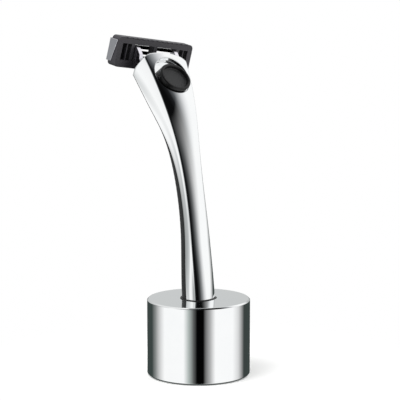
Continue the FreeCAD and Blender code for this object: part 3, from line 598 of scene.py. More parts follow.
@dataclass(frozen=True)
class HeadCuts:
    """The planes and arcs that end the head, in the head's frame."""

    hood_floor: float = -2.0
    hood_root: float = 0.9
    hood_rise: float = 1.3 / 3.6
    chin_slope: float = 0.85
    arch_radius: float = 8.5
    arch_centre: tuple[float, float] = (5.726, -6.69)
    brow_radius: float = 46.06
    brow_top: float = 2.2
    brow_half: float = 8.0

    def chin(self, y: Array) -> Array:
        """Where the hood and the chin end at a depth y."""
        over = self.hood_floor - y
        return self.hood_root + np.where(over > 0, self.hood_rise, self.chin_slope) * over

    def arch(self, x: Array) -> Array:
        """Where the rounded plan ends at a distance x to the side."""
        x = np.abs(x)
        brow = self.brow_top - self.brow_radius + np.sqrt(self.brow_radius**2 - x**2)
        side = np.maximum(self.arch_radius**2 - (x - self.arch_centre[0]) ** 2, 0.0)
        return np.where(x < self.brow_half, brow, self.arch_centre[1] + np.sqrt(side))

    def end(self, x: Array, y: Array) -> Array:
        """Where the casting ends: the nearer of the two cuts."""
        return np.minimum(self.chin(y), self.arch(x))


CUTS = HeadCuts()


def in_head(along: Array, across: Array, depth: Array) -> Array:
    """A section's points in the head's frame."""
    return HEAD_IN_RAZOR.local(SPINE.points(along, across, depth))


# the head's cuts all lie between these two sections, and this many halvings find them
CUT_FROM, CUT_TO, CUT_HALVINGS = 80.0, 100.0, 40


def trim(outline: Callable[[Array], Array], limit: Callable[[Array, Array], Array]) -> Array:
    """How far along the handle each line of an outline runs before a cut.

    The distance is found by halving the stretch that holds the cut.

    Args:
        outline: The section's lines at given distances along the handle.
        limit: The cut's height in the head's frame over a point across and deep.

    Returns:
        One distance for each line of the outline.
    """
    low = np.full(outline(np.array([CUT_FROM])).shape[1], CUT_FROM)
    high = np.full_like(low, CUT_TO)
    column = np.arange(len(low))
    for _ in range(CUT_HALVINGS):
        middle = (low + high) / 2
        flat = outline(middle)[column, column]
        point = in_head(middle, flat[:, 0], flat[:, 1])
        inside = point[:, 2] < limit(point[:, 0], point[:, 1])
        low, high = np.where(inside, middle, low), np.where(inside, high, middle)
    return low


@dataclass
class Casting:
    """The chromed front of the handle: face, flanks, foot and hollow head."""

    crown_steps: int = 14
    round_steps: int = 6
    flank_steps: int = 10
    seam_steps: int = 3
    crease_round: float = 0.4
    seam_round: float = 0.25
    flank_bow: float = 0.16
    # where the shaft's foot ends and its close rows start and stop, then the count of rows on
    # the shaft, on the head, on the cut faces and over their rounded edge
    foot_end: float = -22.0
    shaft_start: float = -2.0
    patch_start: float = 76.0
    shaft_rows: int = 150
    head_rows: int = 26
    cut_rows: int = 6
    roll_rows: int = 4
    rim_round: float = 0.22
    recess_centre: float = -8.2
    recess_half: tuple[float, float] = (8.6, 8.0)
    ledge_half: tuple[float, float] = (7.85, 7.93)
    ledge_depth: float = -3.9
    recess_floor: float = -2.6
    # rings over the face and how early they gather at the recess, the rounding of its brim, and
    # the power of the slot's rounded-rectangle outline
    face_steps: int = 14
    face_gather: float = 1.6
    lip: float = 0.35
    lip_steps: int = 5
    slot_power: float = 6.0
    slot_centre: float = -7.95
    slot_half: tuple[float, float] = (2.0, 3.95)
    # the ledge's draft, and the rounding of each ring from the brim down to the ceiling
    ledge_draft: float = 0.05
    recess_rounds: tuple = (0.0, 0.12, 0.15, 0.2, 0.1, 0.05, 0.0)
    cavity_rear: float = -19.0
    cavity_knee: float = -2.0
    cavity_half: tuple[float, float] = (8.5, 11.0)

    def outline(self, along: Array) -> Array:
        """The face, creases, flanks and seam edges from the left seam to the right.

        The face is an arc; each crease and seam corner is the curve (1-t)^2 a + 2t(1-t) b +
        t^2 c; the flank is a chord with a bow of 4 t (1-t) times its height.

        Args:
            along: Distances along the handle.

        Returns:
            Distances x points x 2, as (across, depth).
        """
        along = np.asarray(along, float)[:, None]
        crease, rise = SECTION.size("crease_half", along), SECTION.size("crease_rise", along)
        half, drop = SECTION.size("seam_half", along), SECTION.size("seam_drop", along)
        corner = np.stack([crease, -rise], axis=-1)
        seam = np.stack([half, drop], axis=-1)
        way = (seam - corner) / np.linalg.norm(seam - corner, axis=-1, keepdims=True)
        share = np.linspace(0.0, 1.0, self.crown_steps + 1)[None, :]
        x = share * (crease - self.crease_round)
        face = np.stack([x, SECTION.crown(along, x)], axis=-1)
        curve = self.corner(face[:, -1:], corner, corner + way * self.crease_round, self.round_steps)
        low, high = corner + way * self.crease_round, seam - way * self.seam_round
        t = np.linspace(0.0, 1.0, self.flank_steps + 1)[None, :, None]
        bow = np.stack([-way[..., 1], way[..., 0]], axis=-1)
        flank = low + (high - low) * t - bow * self.flank_bow * 4 * t * (1 - t)
        edge = self.corner(high, seam, seam - (self.seam_round, 0.0), self.seam_steps)
        right = np.concatenate([face, curve[:, 1:], flank[:, 1:], edge[:, 1:]], axis=1)
        left = right[:, :0:-1] * (-1.0, 1.0)
        return np.concatenate([left, right], axis=1)

    @staticmethod
    def corner(before: Array, at: Array, after: Array, steps: int) -> Array:
        """A rounded corner: (1-t)^2 before + 2t(1-t) at + t^2 after."""
        t = np.linspace(0.0, 1.0, steps + 1)[None, :, None]
        return (1 - t) ** 2 * before + 2 * t * (1 - t) * at + t**2 * after

    def surface(self, x: Array, z: Array) -> Array:
        """The face's points over a plan position of the head.

        The section whose point lands on z is found by stepping the distance along the handle
        by what is missing, eight times.
        """
        along = z + HEAD_ALONG
        for _ in range(8):
            point = in_head(along, x, SECTION.crown(along, x))
            along = along + z - point[..., 2]
        return in_head(along, x, SECTION.crown(along, x))

    def width(self, z: Array) -> Array:
        """The hollow's half width in plan."""
        share = np.clip((z - self.cavity_rear) / (self.cavity_knee - self.cavity_rear), 0.0, 1.0)
        return self.cavity_half[0] + (self.cavity_half[1] - self.cavity_half[0]) * share

    def build(self) -> bpy.types.Object:
        """The whole casting as one closed skin."""
        skin = Skin()
        side = self.round_steps + self.flank_steps + self.seam_steps
        face = 2 * self.crown_steps
        share = np.linspace(0.0, 1.0, face + 1)[1:-1]

        # shaft: the outline and the chord behind it, from the foot to the head
        close = np.linspace(self.shaft_start, self.patch_start, self.shaft_rows)
        along = np.concatenate([[self.foot_end], close])
        rim = self.outline(along)
        chord = rim[:, -1:] + (rim[:, :1] - rim[:, -1:]) * share[None, :, None]
        loop = np.concatenate([rim, chord], axis=1)
        shaft = RAZOR.points(SPINE.points(along[:, None], loop[..., 0], loop[..., 1]))
        skin.grid(shaft, around=True)
        skin.fan(shaft[0])

        # head: lines of the outline run on to the cut
        end = trim(self.outline, CUTS.end)
        ease = np.linspace(0.0, 1.0, self.head_rows + 1)
        head_along = self.patch_start + (end - self.rim_round - self.patch_start) * ease[:, None]
        column = np.arange(len(end))
        flat = np.stack([self.outline(row)[column, column] for row in head_along])
        outer = in_head(head_along, flat[..., 0], flat[..., 1])
        skin.grid(HEAD.points(outer[:, : side + 1]))
        skin.grid(HEAD.points(outer[:, side + face :]))

        # hollow: walls, rear and the line where the ceiling meets them
        edge_flat = self.outline(end)[column, column]
        edge = in_head(end, edge_flat[:, 0], edge_flat[:, 1])
        seam_y = outer[:, 0, 1]
        climb = np.linspace(0.0, 1.0, side + 1)[None, :]
        wall_y = seam_y[:, None] * (1 - climb) + CUTS.hood_floor * climb
        stop = CUTS.end(np.full_like(wall_y[-1], self.cavity_half[1]), wall_y[-1])
        wall_z = self.cavity_rear + (stop[None, :] - self.cavity_rear) * ease[:, None]
        right_wall = np.stack([self.width(wall_z), wall_y, wall_z], axis=-1)
        left_wall = right_wall * (-1.0, 1.0, 1.0)
        skin.grid(HEAD.points(left_wall))
        skin.grid(HEAD.points(right_wall))
        spread = np.linspace(-1.0, 1.0, face + 1)[:, None]
        rear = np.stack(
            [
                spread * self.cavity_half[0] + 0 * climb,
                0 * spread + wall_y[:1],
                np.full((face + 1, side + 1), self.cavity_rear),
            ],
            axis=-1,
        )
        skin.grid(HEAD.points(rear))
        brow_x = spread[:, 0] * self.cavity_half[1]
        brow_y = np.full_like(brow_x, CUTS.hood_floor)
        brow = np.stack([brow_x, brow_y, CUTS.end(brow_x, brow_y)], axis=-1)

        # end: a rounded edge and then the cut faces, to the hollow's mouth
        inner = np.concatenate([left_wall[-1], brow[1:-1], right_wall[-1][::-1]])
        reach = self.rim_round / np.linalg.norm(edge - inner, axis=-1)
        t = reach + (1 - reach) * np.linspace(0.0, 1.0, self.cut_rows + 1)[:, None]
        plan = edge[None, :, :2] * (1 - t[..., None]) + inner[None, :, :2] * t[..., None]
        cut = np.concatenate([plan, CUTS.end(plan[..., 0], plan[..., 1])[..., None]], axis=-1)
        cut[-1] = inner
        roll = np.linspace(0.0, 1.0, self.roll_rows + 1)[:-1, None, None]
        lip = (1 - roll) ** 2 * outer[-1] + 2 * roll * (1 - roll) * edge + roll**2 * cut[0]
        mouth = np.concatenate([lip, cut])
        skin.grid(HEAD.points(mouth))

        # back: the chord between seam and hollow, and the step behind the hollow
        across = np.linspace(0.0, 1.0, len(mouth))[None, :, None]
        for columns, wall, hand in ((outer[:, 0], left_wall, 0), (outer[:, -1], right_wall, -1)):
            strip = columns[:, None] * (1 - across) + wall[:, 0][:, None] * across
            strip[-1] = mouth[:, hand]
            skin.grid(HEAD.points(strip))
        chord = self.line(outer[0, 0], outer[0, -1], share)
        first = np.concatenate([outer[:1, 0], chord, outer[:1, -1]])
        step = first[None] * (1 - across[0][:, None]) + rear[None, :, 0] * across[0][:, None]
        skin.grid(HEAD.points(step))

        # face: one stack of rings from the head's edge through the recess to the ceiling
        left_line, right_line = outer[:, side], outer[:, side + face]
        ring = np.concatenate(
            [
                left_line[:-1], outer[-1, side : side + face],
                right_line[:0:-1], outer[0, side + face : side : -1],
            ]
        )
        ceiling = np.concatenate(
            [left_wall[:-1, -1], brow[:-1], right_wall[:0:-1, -1], rear[:0:-1, -1]]
        )
        skin.grid(HEAD.points(self.face_rings(ring, ceiling)), around=True)
        made = skin.piece("handle_casting", CHROME, crisp=38.0)
        return settle(made, "handle", "chrome_plate", "handle_shell")

    @staticmethod
    def line(start: Array, stop: Array, share: Array) -> Array:
        """Points between two ends."""
        return start + (stop - start) * share[:, None]

    def face_rings(self, ring: Array, ceiling: Array) -> Array:
        """Rings from the head's outline in over the face, down the recess and its slot."""
        centre = np.array([0.0, self.recess_centre])
        out = ring[:, (0, 2)] - centre
        angle = np.arctan2(out[:, 1] / self.recess_half[1], out[:, 0] / self.recess_half[0])
        circle = np.stack([np.cos(angle), np.sin(angle)], axis=-1)

        def oval(half: Sequence[float], depth: float) -> Array:
            """An ellipse at one depth, about the recess's centre."""
            plan = circle * half + centre
            return np.column_stack([plan[:, 0], np.full(len(plan), depth), plan[:, 1]])

        start = circle * (np.array(self.recess_half) + self.lip) + centre
        rows = [ring]
        for t in np.linspace(0.0, 1.0, self.face_steps + 1)[1:]:
            share = 1 - (1 - t) ** self.face_gather
            plan = ring[:, (0, 2)] * (1 - share) + start * share
            rows.append(self.surface(plan[:, 0], plan[:, 1]))
        top = circle * self.recess_half + centre
        brim = self.surface(top[:, 0], top[:, 1])
        below = brim + (0.0, self.lip, 0.0)
        for t in np.linspace(0.0, 1.0, self.lip_steps + 1)[1:]:
            rows.append(
                (1 - t) ** 2 * rows[self.face_steps] + 2 * t * (1 - t) * brim + t**2 * below
            )
        polar = np.stack([circle[:, 0] * self.recess_half[0], circle[:, 1] * self.recess_half[1]], -1)
        polar = polar / np.linalg.norm(polar, axis=-1, keepdims=True)
        power = self.slot_power
        reach = np.sum(np.abs(polar / self.slot_half) ** power, axis=-1) ** (-1 / power)
        slot = polar * reach[:, None] + (0.0, self.slot_centre)

        def slot_at(depth: float) -> Array:
            """The slot's outline at one depth."""
            return np.column_stack([slot[:, 0], np.full(len(slot), depth), slot[:, 1]])

        keys = [
            below, oval(self.recess_half, self.ledge_depth), oval(self.ledge_half, self.ledge_depth),
            oval(np.array(self.ledge_half) - self.ledge_draft, self.recess_floor),
            slot_at(self.recess_floor), slot_at(CUTS.hood_floor), ceiling,
        ]
        down = softened(keys, self.recess_rounds, steps=3)
        return np.concatenate([np.stack(rows), down[1:]])


@dataclass
class Grip:
    """The black rubber back of the handle, with cross ribs."""

    gap: float = 0.12
    corner: float = 0.3
    rib_pitch: float = 2.4
    rib_depth: float = 0.24
    rib_from: float = 20.0
    rib_to: float = 84.0
    # the skin's inset at the seam and on the chord, the share of the half width where the ribs
    # end, how wide they fade, and the foot, first step and count of the sections
    seam_inset: float = 0.02
    chord_inset: float = 0.05
    rib_edge: float = 0.82
    rib_fade: float = 0.2
    foot: float = -22.0
    first_step: float = 0.16
    steps: int = 400
    belly_steps: int = 44

    def outline(self, along: Array) -> Array:
        """The belly's arc and the chord that closes it, as (across, depth).

        Ribs lower the belly by rib_depth (0.5 - 0.5 cos(2 pi s / pitch))^3, faded out toward
        the seams and at both ends of the ribbed length.
        """
        along = np.asarray(along, float)[:, None]
        half = SECTION.size("seam_half", along) - self.seam_inset
        drop = SECTION.size("seam_drop", along) + self.gap
        sag = SECTION.size("belly_drop", along) - drop
        radius = (half**2 + sag**2) / (2 * sag)
        reach = np.arctan2(half, radius - sag)
        turned = np.linspace(-1.0, 1.0, self.belly_steps + 1)[None, :] * reach
        x = radius * np.sin(turned)
        y = drop + sag - radius + radius * np.cos(turned)
        wave = (0.5 - 0.5 * np.cos(2 * np.pi * along / self.rib_pitch)) ** 3
        fade = np.clip((along - self.rib_from) / 2, 0, 1) * np.clip((self.rib_to - along) / 2, 0, 1)
        edge = np.clip((self.rib_edge - np.abs(x) / half) / self.rib_fade, 0.0, 1.0)
        y = y - self.rib_depth * wave * fade * edge * edge * (3 - 2 * edge)
        belly = np.stack([x, y], axis=-1)
        share = np.linspace(1.0, -1.0, 11)[None, 1:-1]
        chord = np.stack([share * (half - self.chord_inset), drop + 0 * share], axis=-1)
        return np.concatenate([belly, chord], axis=1)

    def build(self) -> bpy.types.Object:
        """The grip as one closed skin, cut off along the chin."""
        skin = Skin()
        end = trim(self.outline, lambda x, y: CUTS.chin(y))
        column = np.arange(len(end))
        ease = np.concatenate([[0.0], np.linspace(self.first_step, 1.0, self.steps)])
        along = self.foot + (end - self.foot) * ease[:, None]
        flat = np.stack([self.outline(row)[column, column] for row in along])
        points = RAZOR.points(SPINE.points(along, flat[..., 0], flat[..., 1]))
        skin.grid(points, around=True)
        skin.fan(points[0])
        skin.fan(points[-1])
        made = skin.piece("back_grip_rubber", GRIP_RUBBER, crisp=40.0)
        return settle(made, "handle", "grip_rubber", "back_grip")


@dataclass
class Button:
    """The dished oval button and its stem."""

    half: tuple[float, float] = (7.5, 6.2)
    middle: float = -9.7
    top: float = -6.6
    under: float = -2.75
    rim: float = 1.25
    dish: float = 1.3
    stem: tuple[float, float, float, float] = (-1.8, 1.8, -11.6, -8.4)
    stem_foot: float = -0.5
    # how far the underside's inner ring, the top of the side and two rings on the dish's floor
    # lie inside the outline, the dish wall's lean, and how far its floor swells between them
    under_inset: float = 3.0
    draft: float = 0.06
    floor_inset: float = 3.4
    middle_inset: float = 5.0
    dish_wall: float = 0.35
    floor_swell: float = 0.02
    # the rounding of each ring, and how far the stem starts inside the button
    rounds: tuple = (0.0, 0.2, 0.55, 0.3, 0.35, 0.8, 0.0)
    stem_root: float = 0.3

    def build(self) -> bpy.types.Object:
        """Ellipse rings up the side, over the rim and down into the dish."""
        angles = np.linspace(0.0, 2 * np.pi, 128, endpoint=False)
        circle = np.stack([np.cos(angles), np.sin(angles)], axis=-1)

        def oval(inset: float, depth: float) -> Array:
            """An ellipse inset from the button's outline, at one depth."""
            plan = circle * (np.array(self.half) - inset)
            return HEAD.points(
                np.column_stack([plan[:, 0], np.full(128, depth), plan[:, 1] + self.middle])
            )

        floor = self.top + self.dish
        keys = [
            oval(self.under_inset, self.under), oval(0.0, self.under), oval(self.draft, self.top),
            oval(self.rim, self.top), oval(self.rim + self.dish_wall, floor),
            oval(self.floor_inset, floor - self.floor_swell), oval(self.middle_inset, floor),
        ]
        skin = Skin()
        rings = softened(keys, self.rounds, steps=6)
        skin.grid(rings, around=True)
        skin.fan(rings[0])
        skin.fan(rings[-1])
        x0, x1, z0, z1 = self.stem
        corners = np.array([(x0, z0), (x1, z0), (x1, z1), (x0, z1)])
        ends = [
            HEAD.points(np.column_stack([corners[:, 0], np.full(4, depth), corners[:, 1]]))
            for depth in (self.under - self.stem_root, self.stem_foot)
        ]
        skin.prism(ends[0], ends[1])
        # the rim and stem take the black painted darker, as painted shade round the dish
        made = skin.piece("release_button_cap", BUTTON_RIM_PAINTED_SHADE, crisp=35.0)
        self.paint_dish_light(made)
        return settle(made, "button", "button_plastic", "release_button")

    def paint_dish_light(self, made: bpy.types.Object) -> None:
        """Give the faces inside the dish's ellipse, above its floor, the matt finish whose lighter
        colour is painted light.
        """
        centres = np.empty(len(made.data.polygons) * 3)
        made.data.polygons.foreach_get("center", centres)
        x, y, z = HEAD.local(centres.reshape(-1, 3) / MM).T
        wide, long = np.array(self.half) - self.rim - self.dish_wall
        # these faces get the colour painted lighter than the rim, as painted light on the dish
        inside = ((x / wide) ** 2 + ((z - self.middle) / long) ** 2 < 1.0) & (y < self.under - 1.0)
        made.data.materials.append(BUTTON_DISH_PAINTED_LIGHT.material())
        made.data.polygons.foreach_set("material_index", inside.astype(np.int32))


@dataclass
class ReleaseArm:
    """One bright steel arm: a leg in the head, an end plate, the pivot pin and the slot peg."""

    name: str
    body: str
    hand: int
    outer: float = 10.8
    width: float = 1.8
    rear_outer: float = 6.2
    rear: float = -18.0
    top: float = -1.1
    under: float = 0.5
    pivot: tuple[float, float] = (2.89, 4.93)
    boss: float = 1.2
    pin: tuple[float, float] = (0.7, 1.3)
    peg: tuple[float, float, float] = (0.75, 6.74, -13.0)
    peg_top: float = 1.85
    # how far the pin starts inside the plate, and the radii of its first and last ring
    pin_root: float = 0.2
    pin_ends: tuple[float, float] = (0.3, 0.2)
    pin_round: float = 0.15
    # heights in the head: the leg's bend and its end, then the plate's foot, the top of its
    # straight front and the foot of its back
    leg_bend: float = -2.0
    leg_end: float = 1.0
    plate_foot: float = -1.0
    plate_front: float = 0.6
    plate_heel: float = 1.2
    # the plate's round nose: first and last angle in degrees, and how many points
    nose: tuple[float, float, int] = (-64.0, 125.0, 13)
    # the plate's top: three depths from nose to back and its height over the pivot, then how
    # much lower its back corner stands and where the edge under that corner ends
    hook: tuple[float, float, float, float] = (-0.4, -1.3, -2.0, 2.47)
    hook_drop: float = 1.4
    hook_foot: float = 2.6
    edge_round: float = 0.14

    def build(self) -> bpy.types.Object:
        """Two plates and two turned pins in one piece, with rounded edges."""
        skin = Skin()
        inner, rear_inner = self.outer - self.width, self.rear_outer - self.width
        leg = np.array(
            [
                (rear_inner, self.rear), (self.rear_outer, self.rear),
                (self.outer, self.leg_bend), (self.outer, self.leg_end),
                (inner, self.leg_end), (inner, self.leg_bend),
            ]
        )
        rings = [
            HEAD.points(np.column_stack([leg[:, 0] * self.hand, np.full(len(leg), y), leg[:, 1]]))
            for y in (self.top, self.under)
        ]
        skin.prism(*rings)
        forward, out = self.pivot
        turn_angles = np.radians(np.linspace(*self.nose))
        nose = np.stack(
            [forward + self.boss * np.cos(turn_angles), out + self.boss * np.sin(turn_angles)], -1
        )
        near, far, back, rise = self.hook
        plate = np.vstack(
            [
                [
                    (self.top, self.plate_foot), (self.under, self.plate_foot),
                    (self.under, self.plate_front),
                ],
                nose,
                [
                    (near, out + rise), (far, out + rise), (back, out + rise - self.hook_drop),
                    (back, self.hook_foot), (self.top, self.plate_heel),
                ],
            ]
        )
        rings = [
            HEAD.points(np.column_stack([np.full(len(plate), x * self.hand), plate]))
            for x in (inner, self.outer)
        ]
        skin.prism(*rings)
        radius, length = self.pin
        pin_start = HEAD.moved(self.hand * (self.outer - self.pin_root), forward, out)
        end = length + self.pin_root
        first, last = self.pin_ends
        rings = softened(
            lathe(
                [(first, 0.0), (radius, 0.0), (radius, end), (last, end)],
                pin_start.turned(Axis.Y, 90.0 * self.hand), 28,
            ),
            [0.0, 0.0, self.pin_round, 0.0], 3,
        )
        skin.grid(rings, around=True)
        skin.fan(rings[0])
        skin.fan(rings[-1])
        peg_radius, across, along = self.peg
        peg_place = HEAD.moved(self.hand * across, 0.0, along).turned(Axis.X, 90.0)
        rings = np.stack(lathe([(peg_radius, 0.0), (peg_radius, self.peg_top)], peg_place, 24))
        skin.grid(rings, around=True)
        skin.fan(rings[0])
        skin.fan(rings[-1])
        made = skin.piece(f"{self.name}_lever", POLISHED_STEEL)
        bevel(made, self.edge_round)
        return settle(made, self.body, "polished_steel", self.name)


@dataclass
class Plunger:
    """The sprung rod that pushes on the cartridge's middle rib."""

    depth: float = 0.9
    rod: float = 0.8
    collar: float = 1.1
    step: float = -6.3
    nose: float = 3.63
    # the spigot behind the collar, the first ring's radius, the nose's arc and the rounding of
    # the first rings
    spigot: float = 0.5
    spigot_length: float = 2.0
    collar_length: float = 1.0
    core: float = 0.2
    nose_arc: float = 53.0
    rounds: tuple = (0.0, 0.1, 0.0, 0.1, 0.1)

    def build(self) -> bpy.types.Object:
        """A turned profile: spigot, collar, rod and a rounded nose."""
        angles = np.radians(np.linspace(0.0, self.nose_arc, 7))
        tip = [(self.rod * math.cos(a), self.nose + self.rod * math.sin(a)) for a in angles]
        foot = self.step - self.collar_length
        end = foot - self.spigot_length
        profile = [
            (self.core, end), (self.spigot, end), (self.spigot, foot),
            (self.collar, foot), (self.collar, self.step), (self.rod, self.step), *tip,
        ]
        rings = lathe(profile, HEAD.moved(0.0, self.depth, 0.0), 40)
        radii = [*self.rounds, *[0.0] * (len(profile) - len(self.rounds))]
        stack = softened(rings, radii, 3)
        skin = Skin()
        skin.grid(stack, around=True)
        skin.fan(stack[0])
        skin.fan(stack[-1])
        made = skin.piece("plunger_rod", BLACK_PLASTIC)
        return settle(made, "plunger", "black_plastic", "pivot_plunger")


# ------------------------------------------------------------------ stand


# the foot's section: half widths of crease and seam, then rises toward the face and the drops
# of seam and belly toward the back
FOOT_CREASE, FOOT_SEAM = 5.1, 6.3
FOOT_RISE, FOOT_CROWN, FOOT_DROP, FOOT_BELLY = 3.9, 5.4, 0.3, 6.5


def foot_outline(grow: float, count: int = 40) -> Array:
    """The foot's outline grown outward: face arc, flanks and belly arc, anticlockwise.

    Args:
        grow: How far the outline stands outside the foot.
        count: Points on each arc.

    Returns:
        Points x 2 in the socket's frame.
    """
    crease, rise, crown = FOOT_CREASE + grow, FOOT_RISE + grow / 2, FOOT_CROWN + grow
    half, drop, belly = FOOT_SEAM + grow, FOOT_DROP, FOOT_BELLY + grow

    def arc(chord: float, sag: float) -> tuple[Array, Array]:
        """An arc over a half chord, as distances to the side and heights over it."""
        radius = (chord**2 + sag**2) / (2 * sag)
        reach = math.atan2(chord, radius - sag)
        angle = np.linspace(-reach, reach, count)
        return radius * np.sin(angle), radius * np.cos(angle) - (radius - sag)

    face_x, face_y = arc(crease, crown - rise)
    back_x, back_y = arc(half, belly - drop)
    flank = np.linspace(0.0, 1.0, 12)[1:-1, None]
    right = np.array([crease, -rise]) * (1 - flank) + np.array([half, drop]) * flank
    left = (right * (-1.0, 1.0))[::-1]
    face = np.column_stack([face_x, -rise - face_y])
    back = np.column_stack([-back_x, drop + back_y])
    return np.concatenate([face, right, back, left])


def socket_ring(grow: float, height: float) -> Array:
    """The grown foot outline carried along the socket to a level in the row frame."""
    flat = foot_outline(grow)
    base = SOCKET.points(np.column_stack([flat, np.zeros(len(flat))]))
    axis = SOCKET.matrix[:3, 2]
    return base + axis * ((height - base[:, 2]) / axis[2])[:, None]


def socket_section(grow: float, along: float) -> Array:
    """The grown foot outline at a distance along the socket."""
    flat = foot_outline(grow)
    return SOCKET.points(np.column_stack([flat, np.full(len(flat), along)]))


@dataclass
class Stand:
    """The weighted stand: chromed cup, socket liner and foot pad."""

    radius: float = 19.99
    wall: float = 1.6
    edge: float = 0.5
    foot: float = 0.3
    plate: float = 2.2
    fit: float = 0.15
    liner_wall: float = 0.5
    liner_rim: float = 0.3
    hole_gap: float = 0.05
    foot_depth: float = 22.1
    liner_floor: float = 1.5
    pad_radius: float = 17.99
    pad_top: float = 0.98
    # points round the shell, then the rounding of each ring of the shell, the liner and the pad
    count: int = 240
    shell_rounds: tuple = (0.0, 0.1, 0.12, 0.12, 0.12, 0.0, 0.12, 0.0, 0.0, 0.0)
    liner_rounds: tuple = (0.0, 0.12, 0.12, 0.0)
    pad_rounds: tuple = (0.0, 0.2, 0.2, 0.0)
    pad_core: float = 0.5

    def ring_by_angle(self, ring: Array, height: float) -> Array:
        """A closed ring read again at even angles round the stand's axis."""
        centre = ring[:, :2].mean(axis=0)
        out = ring[:, :2] - centre
        angle = np.arctan2(out[:, 1], out[:, 0])
        order = np.argsort(angle)
        wanted = np.linspace(0.0, 2 * np.pi, self.count, endpoint=False)
        wrapped = (wanted + np.pi) % (2 * np.pi) - np.pi
        reach = np.interp(wrapped, angle[order], np.linalg.norm(out, axis=1)[order], period=2 * np.pi)
        plan = centre + np.stack([np.cos(wanted), np.sin(wanted)], -1) * reach[:, None]
        return np.column_stack([plan, np.full(self.count, height)])

    def shell(self) -> bpy.types.Object:
        """Rings up the side, over the chamfer, in to the hole, down it and back inside."""
        under = STAND_TOP - self.plate
        inner = self.radius - self.wall
        side = lathe(
            [
                (inner, self.foot), (self.radius - self.edge, self.foot),
                (self.radius, self.foot + self.edge), (self.radius, STAND_TOP - self.edge),
                (self.radius - self.edge, STAND_TOP), (self.radius - 2 * self.edge, STAND_TOP),
            ],
            Place(), self.count,
        )
        grow = self.fit + self.liner_wall + self.hole_gap
        hole = self.ring_by_angle(socket_ring(grow, STAND_TOP), STAND_TOP)
        below = self.ring_by_angle(socket_ring(grow, under), under)
        inside = lathe([(inner, under), (inner, self.foot)], Place(), self.count)
        rings = softened([*side, hole, below, *inside], self.shell_rounds, steps=4)
        skin = Skin()
        skin.grid(rings[:-1], around=True, over=True)
        made = skin.piece("stand_cup", CHROME, crisp=38.0)
        return settle(made, "stand", "chrome_plate", "stand_shell")

    def liner(self) -> bpy.types.Object:
        """Rings down the outside of the cup, over its rim and down the inside."""
        rim = STAND_TOP + self.liner_rim
        outside = self.fit + self.liner_wall
        keys = [
            socket_section(outside, -self.foot_depth - self.liner_floor),
            socket_ring(outside, rim), socket_ring(self.fit, rim),
            socket_section(self.fit, -self.foot_depth),
        ]
        rings = softened(keys, self.liner_rounds, steps=3)
        skin = Skin()
        skin.grid(rings, around=True)
        skin.fan(rings[0])
        skin.fan(rings[-1])
        made = skin.piece("socket_cup_liner", BLACK_PLASTIC, crisp=40.0)
        return settle(made, "stand", "black_plastic", "socket_liner")

    def pad(self) -> bpy.types.Object:
        """A disc with rounded edges."""
        profile = [
            (self.pad_core, 0.0), (self.pad_radius, 0.0), (self.pad_radius, self.pad_top),
            (self.pad_core, self.pad_top),
        ]
        rings = softened(lathe(profile, Place(), 160), self.pad_rounds, steps=3)
        skin = Skin()
        skin.grid(rings, around=True)
        skin.fan(rings[0])
        skin.fan(rings[-1])
        made = skin.piece("foot_pad_disc", FOOT_RUBBER)
        return settle(made, "stand", "foot_rubber", "stand_foot_pad")

    def build(self) -> None:
        """Every piece of the stand."""
        self.shell()
        self.liner()
        self.pad()


# ------------------------------------------------------------------ cartridge


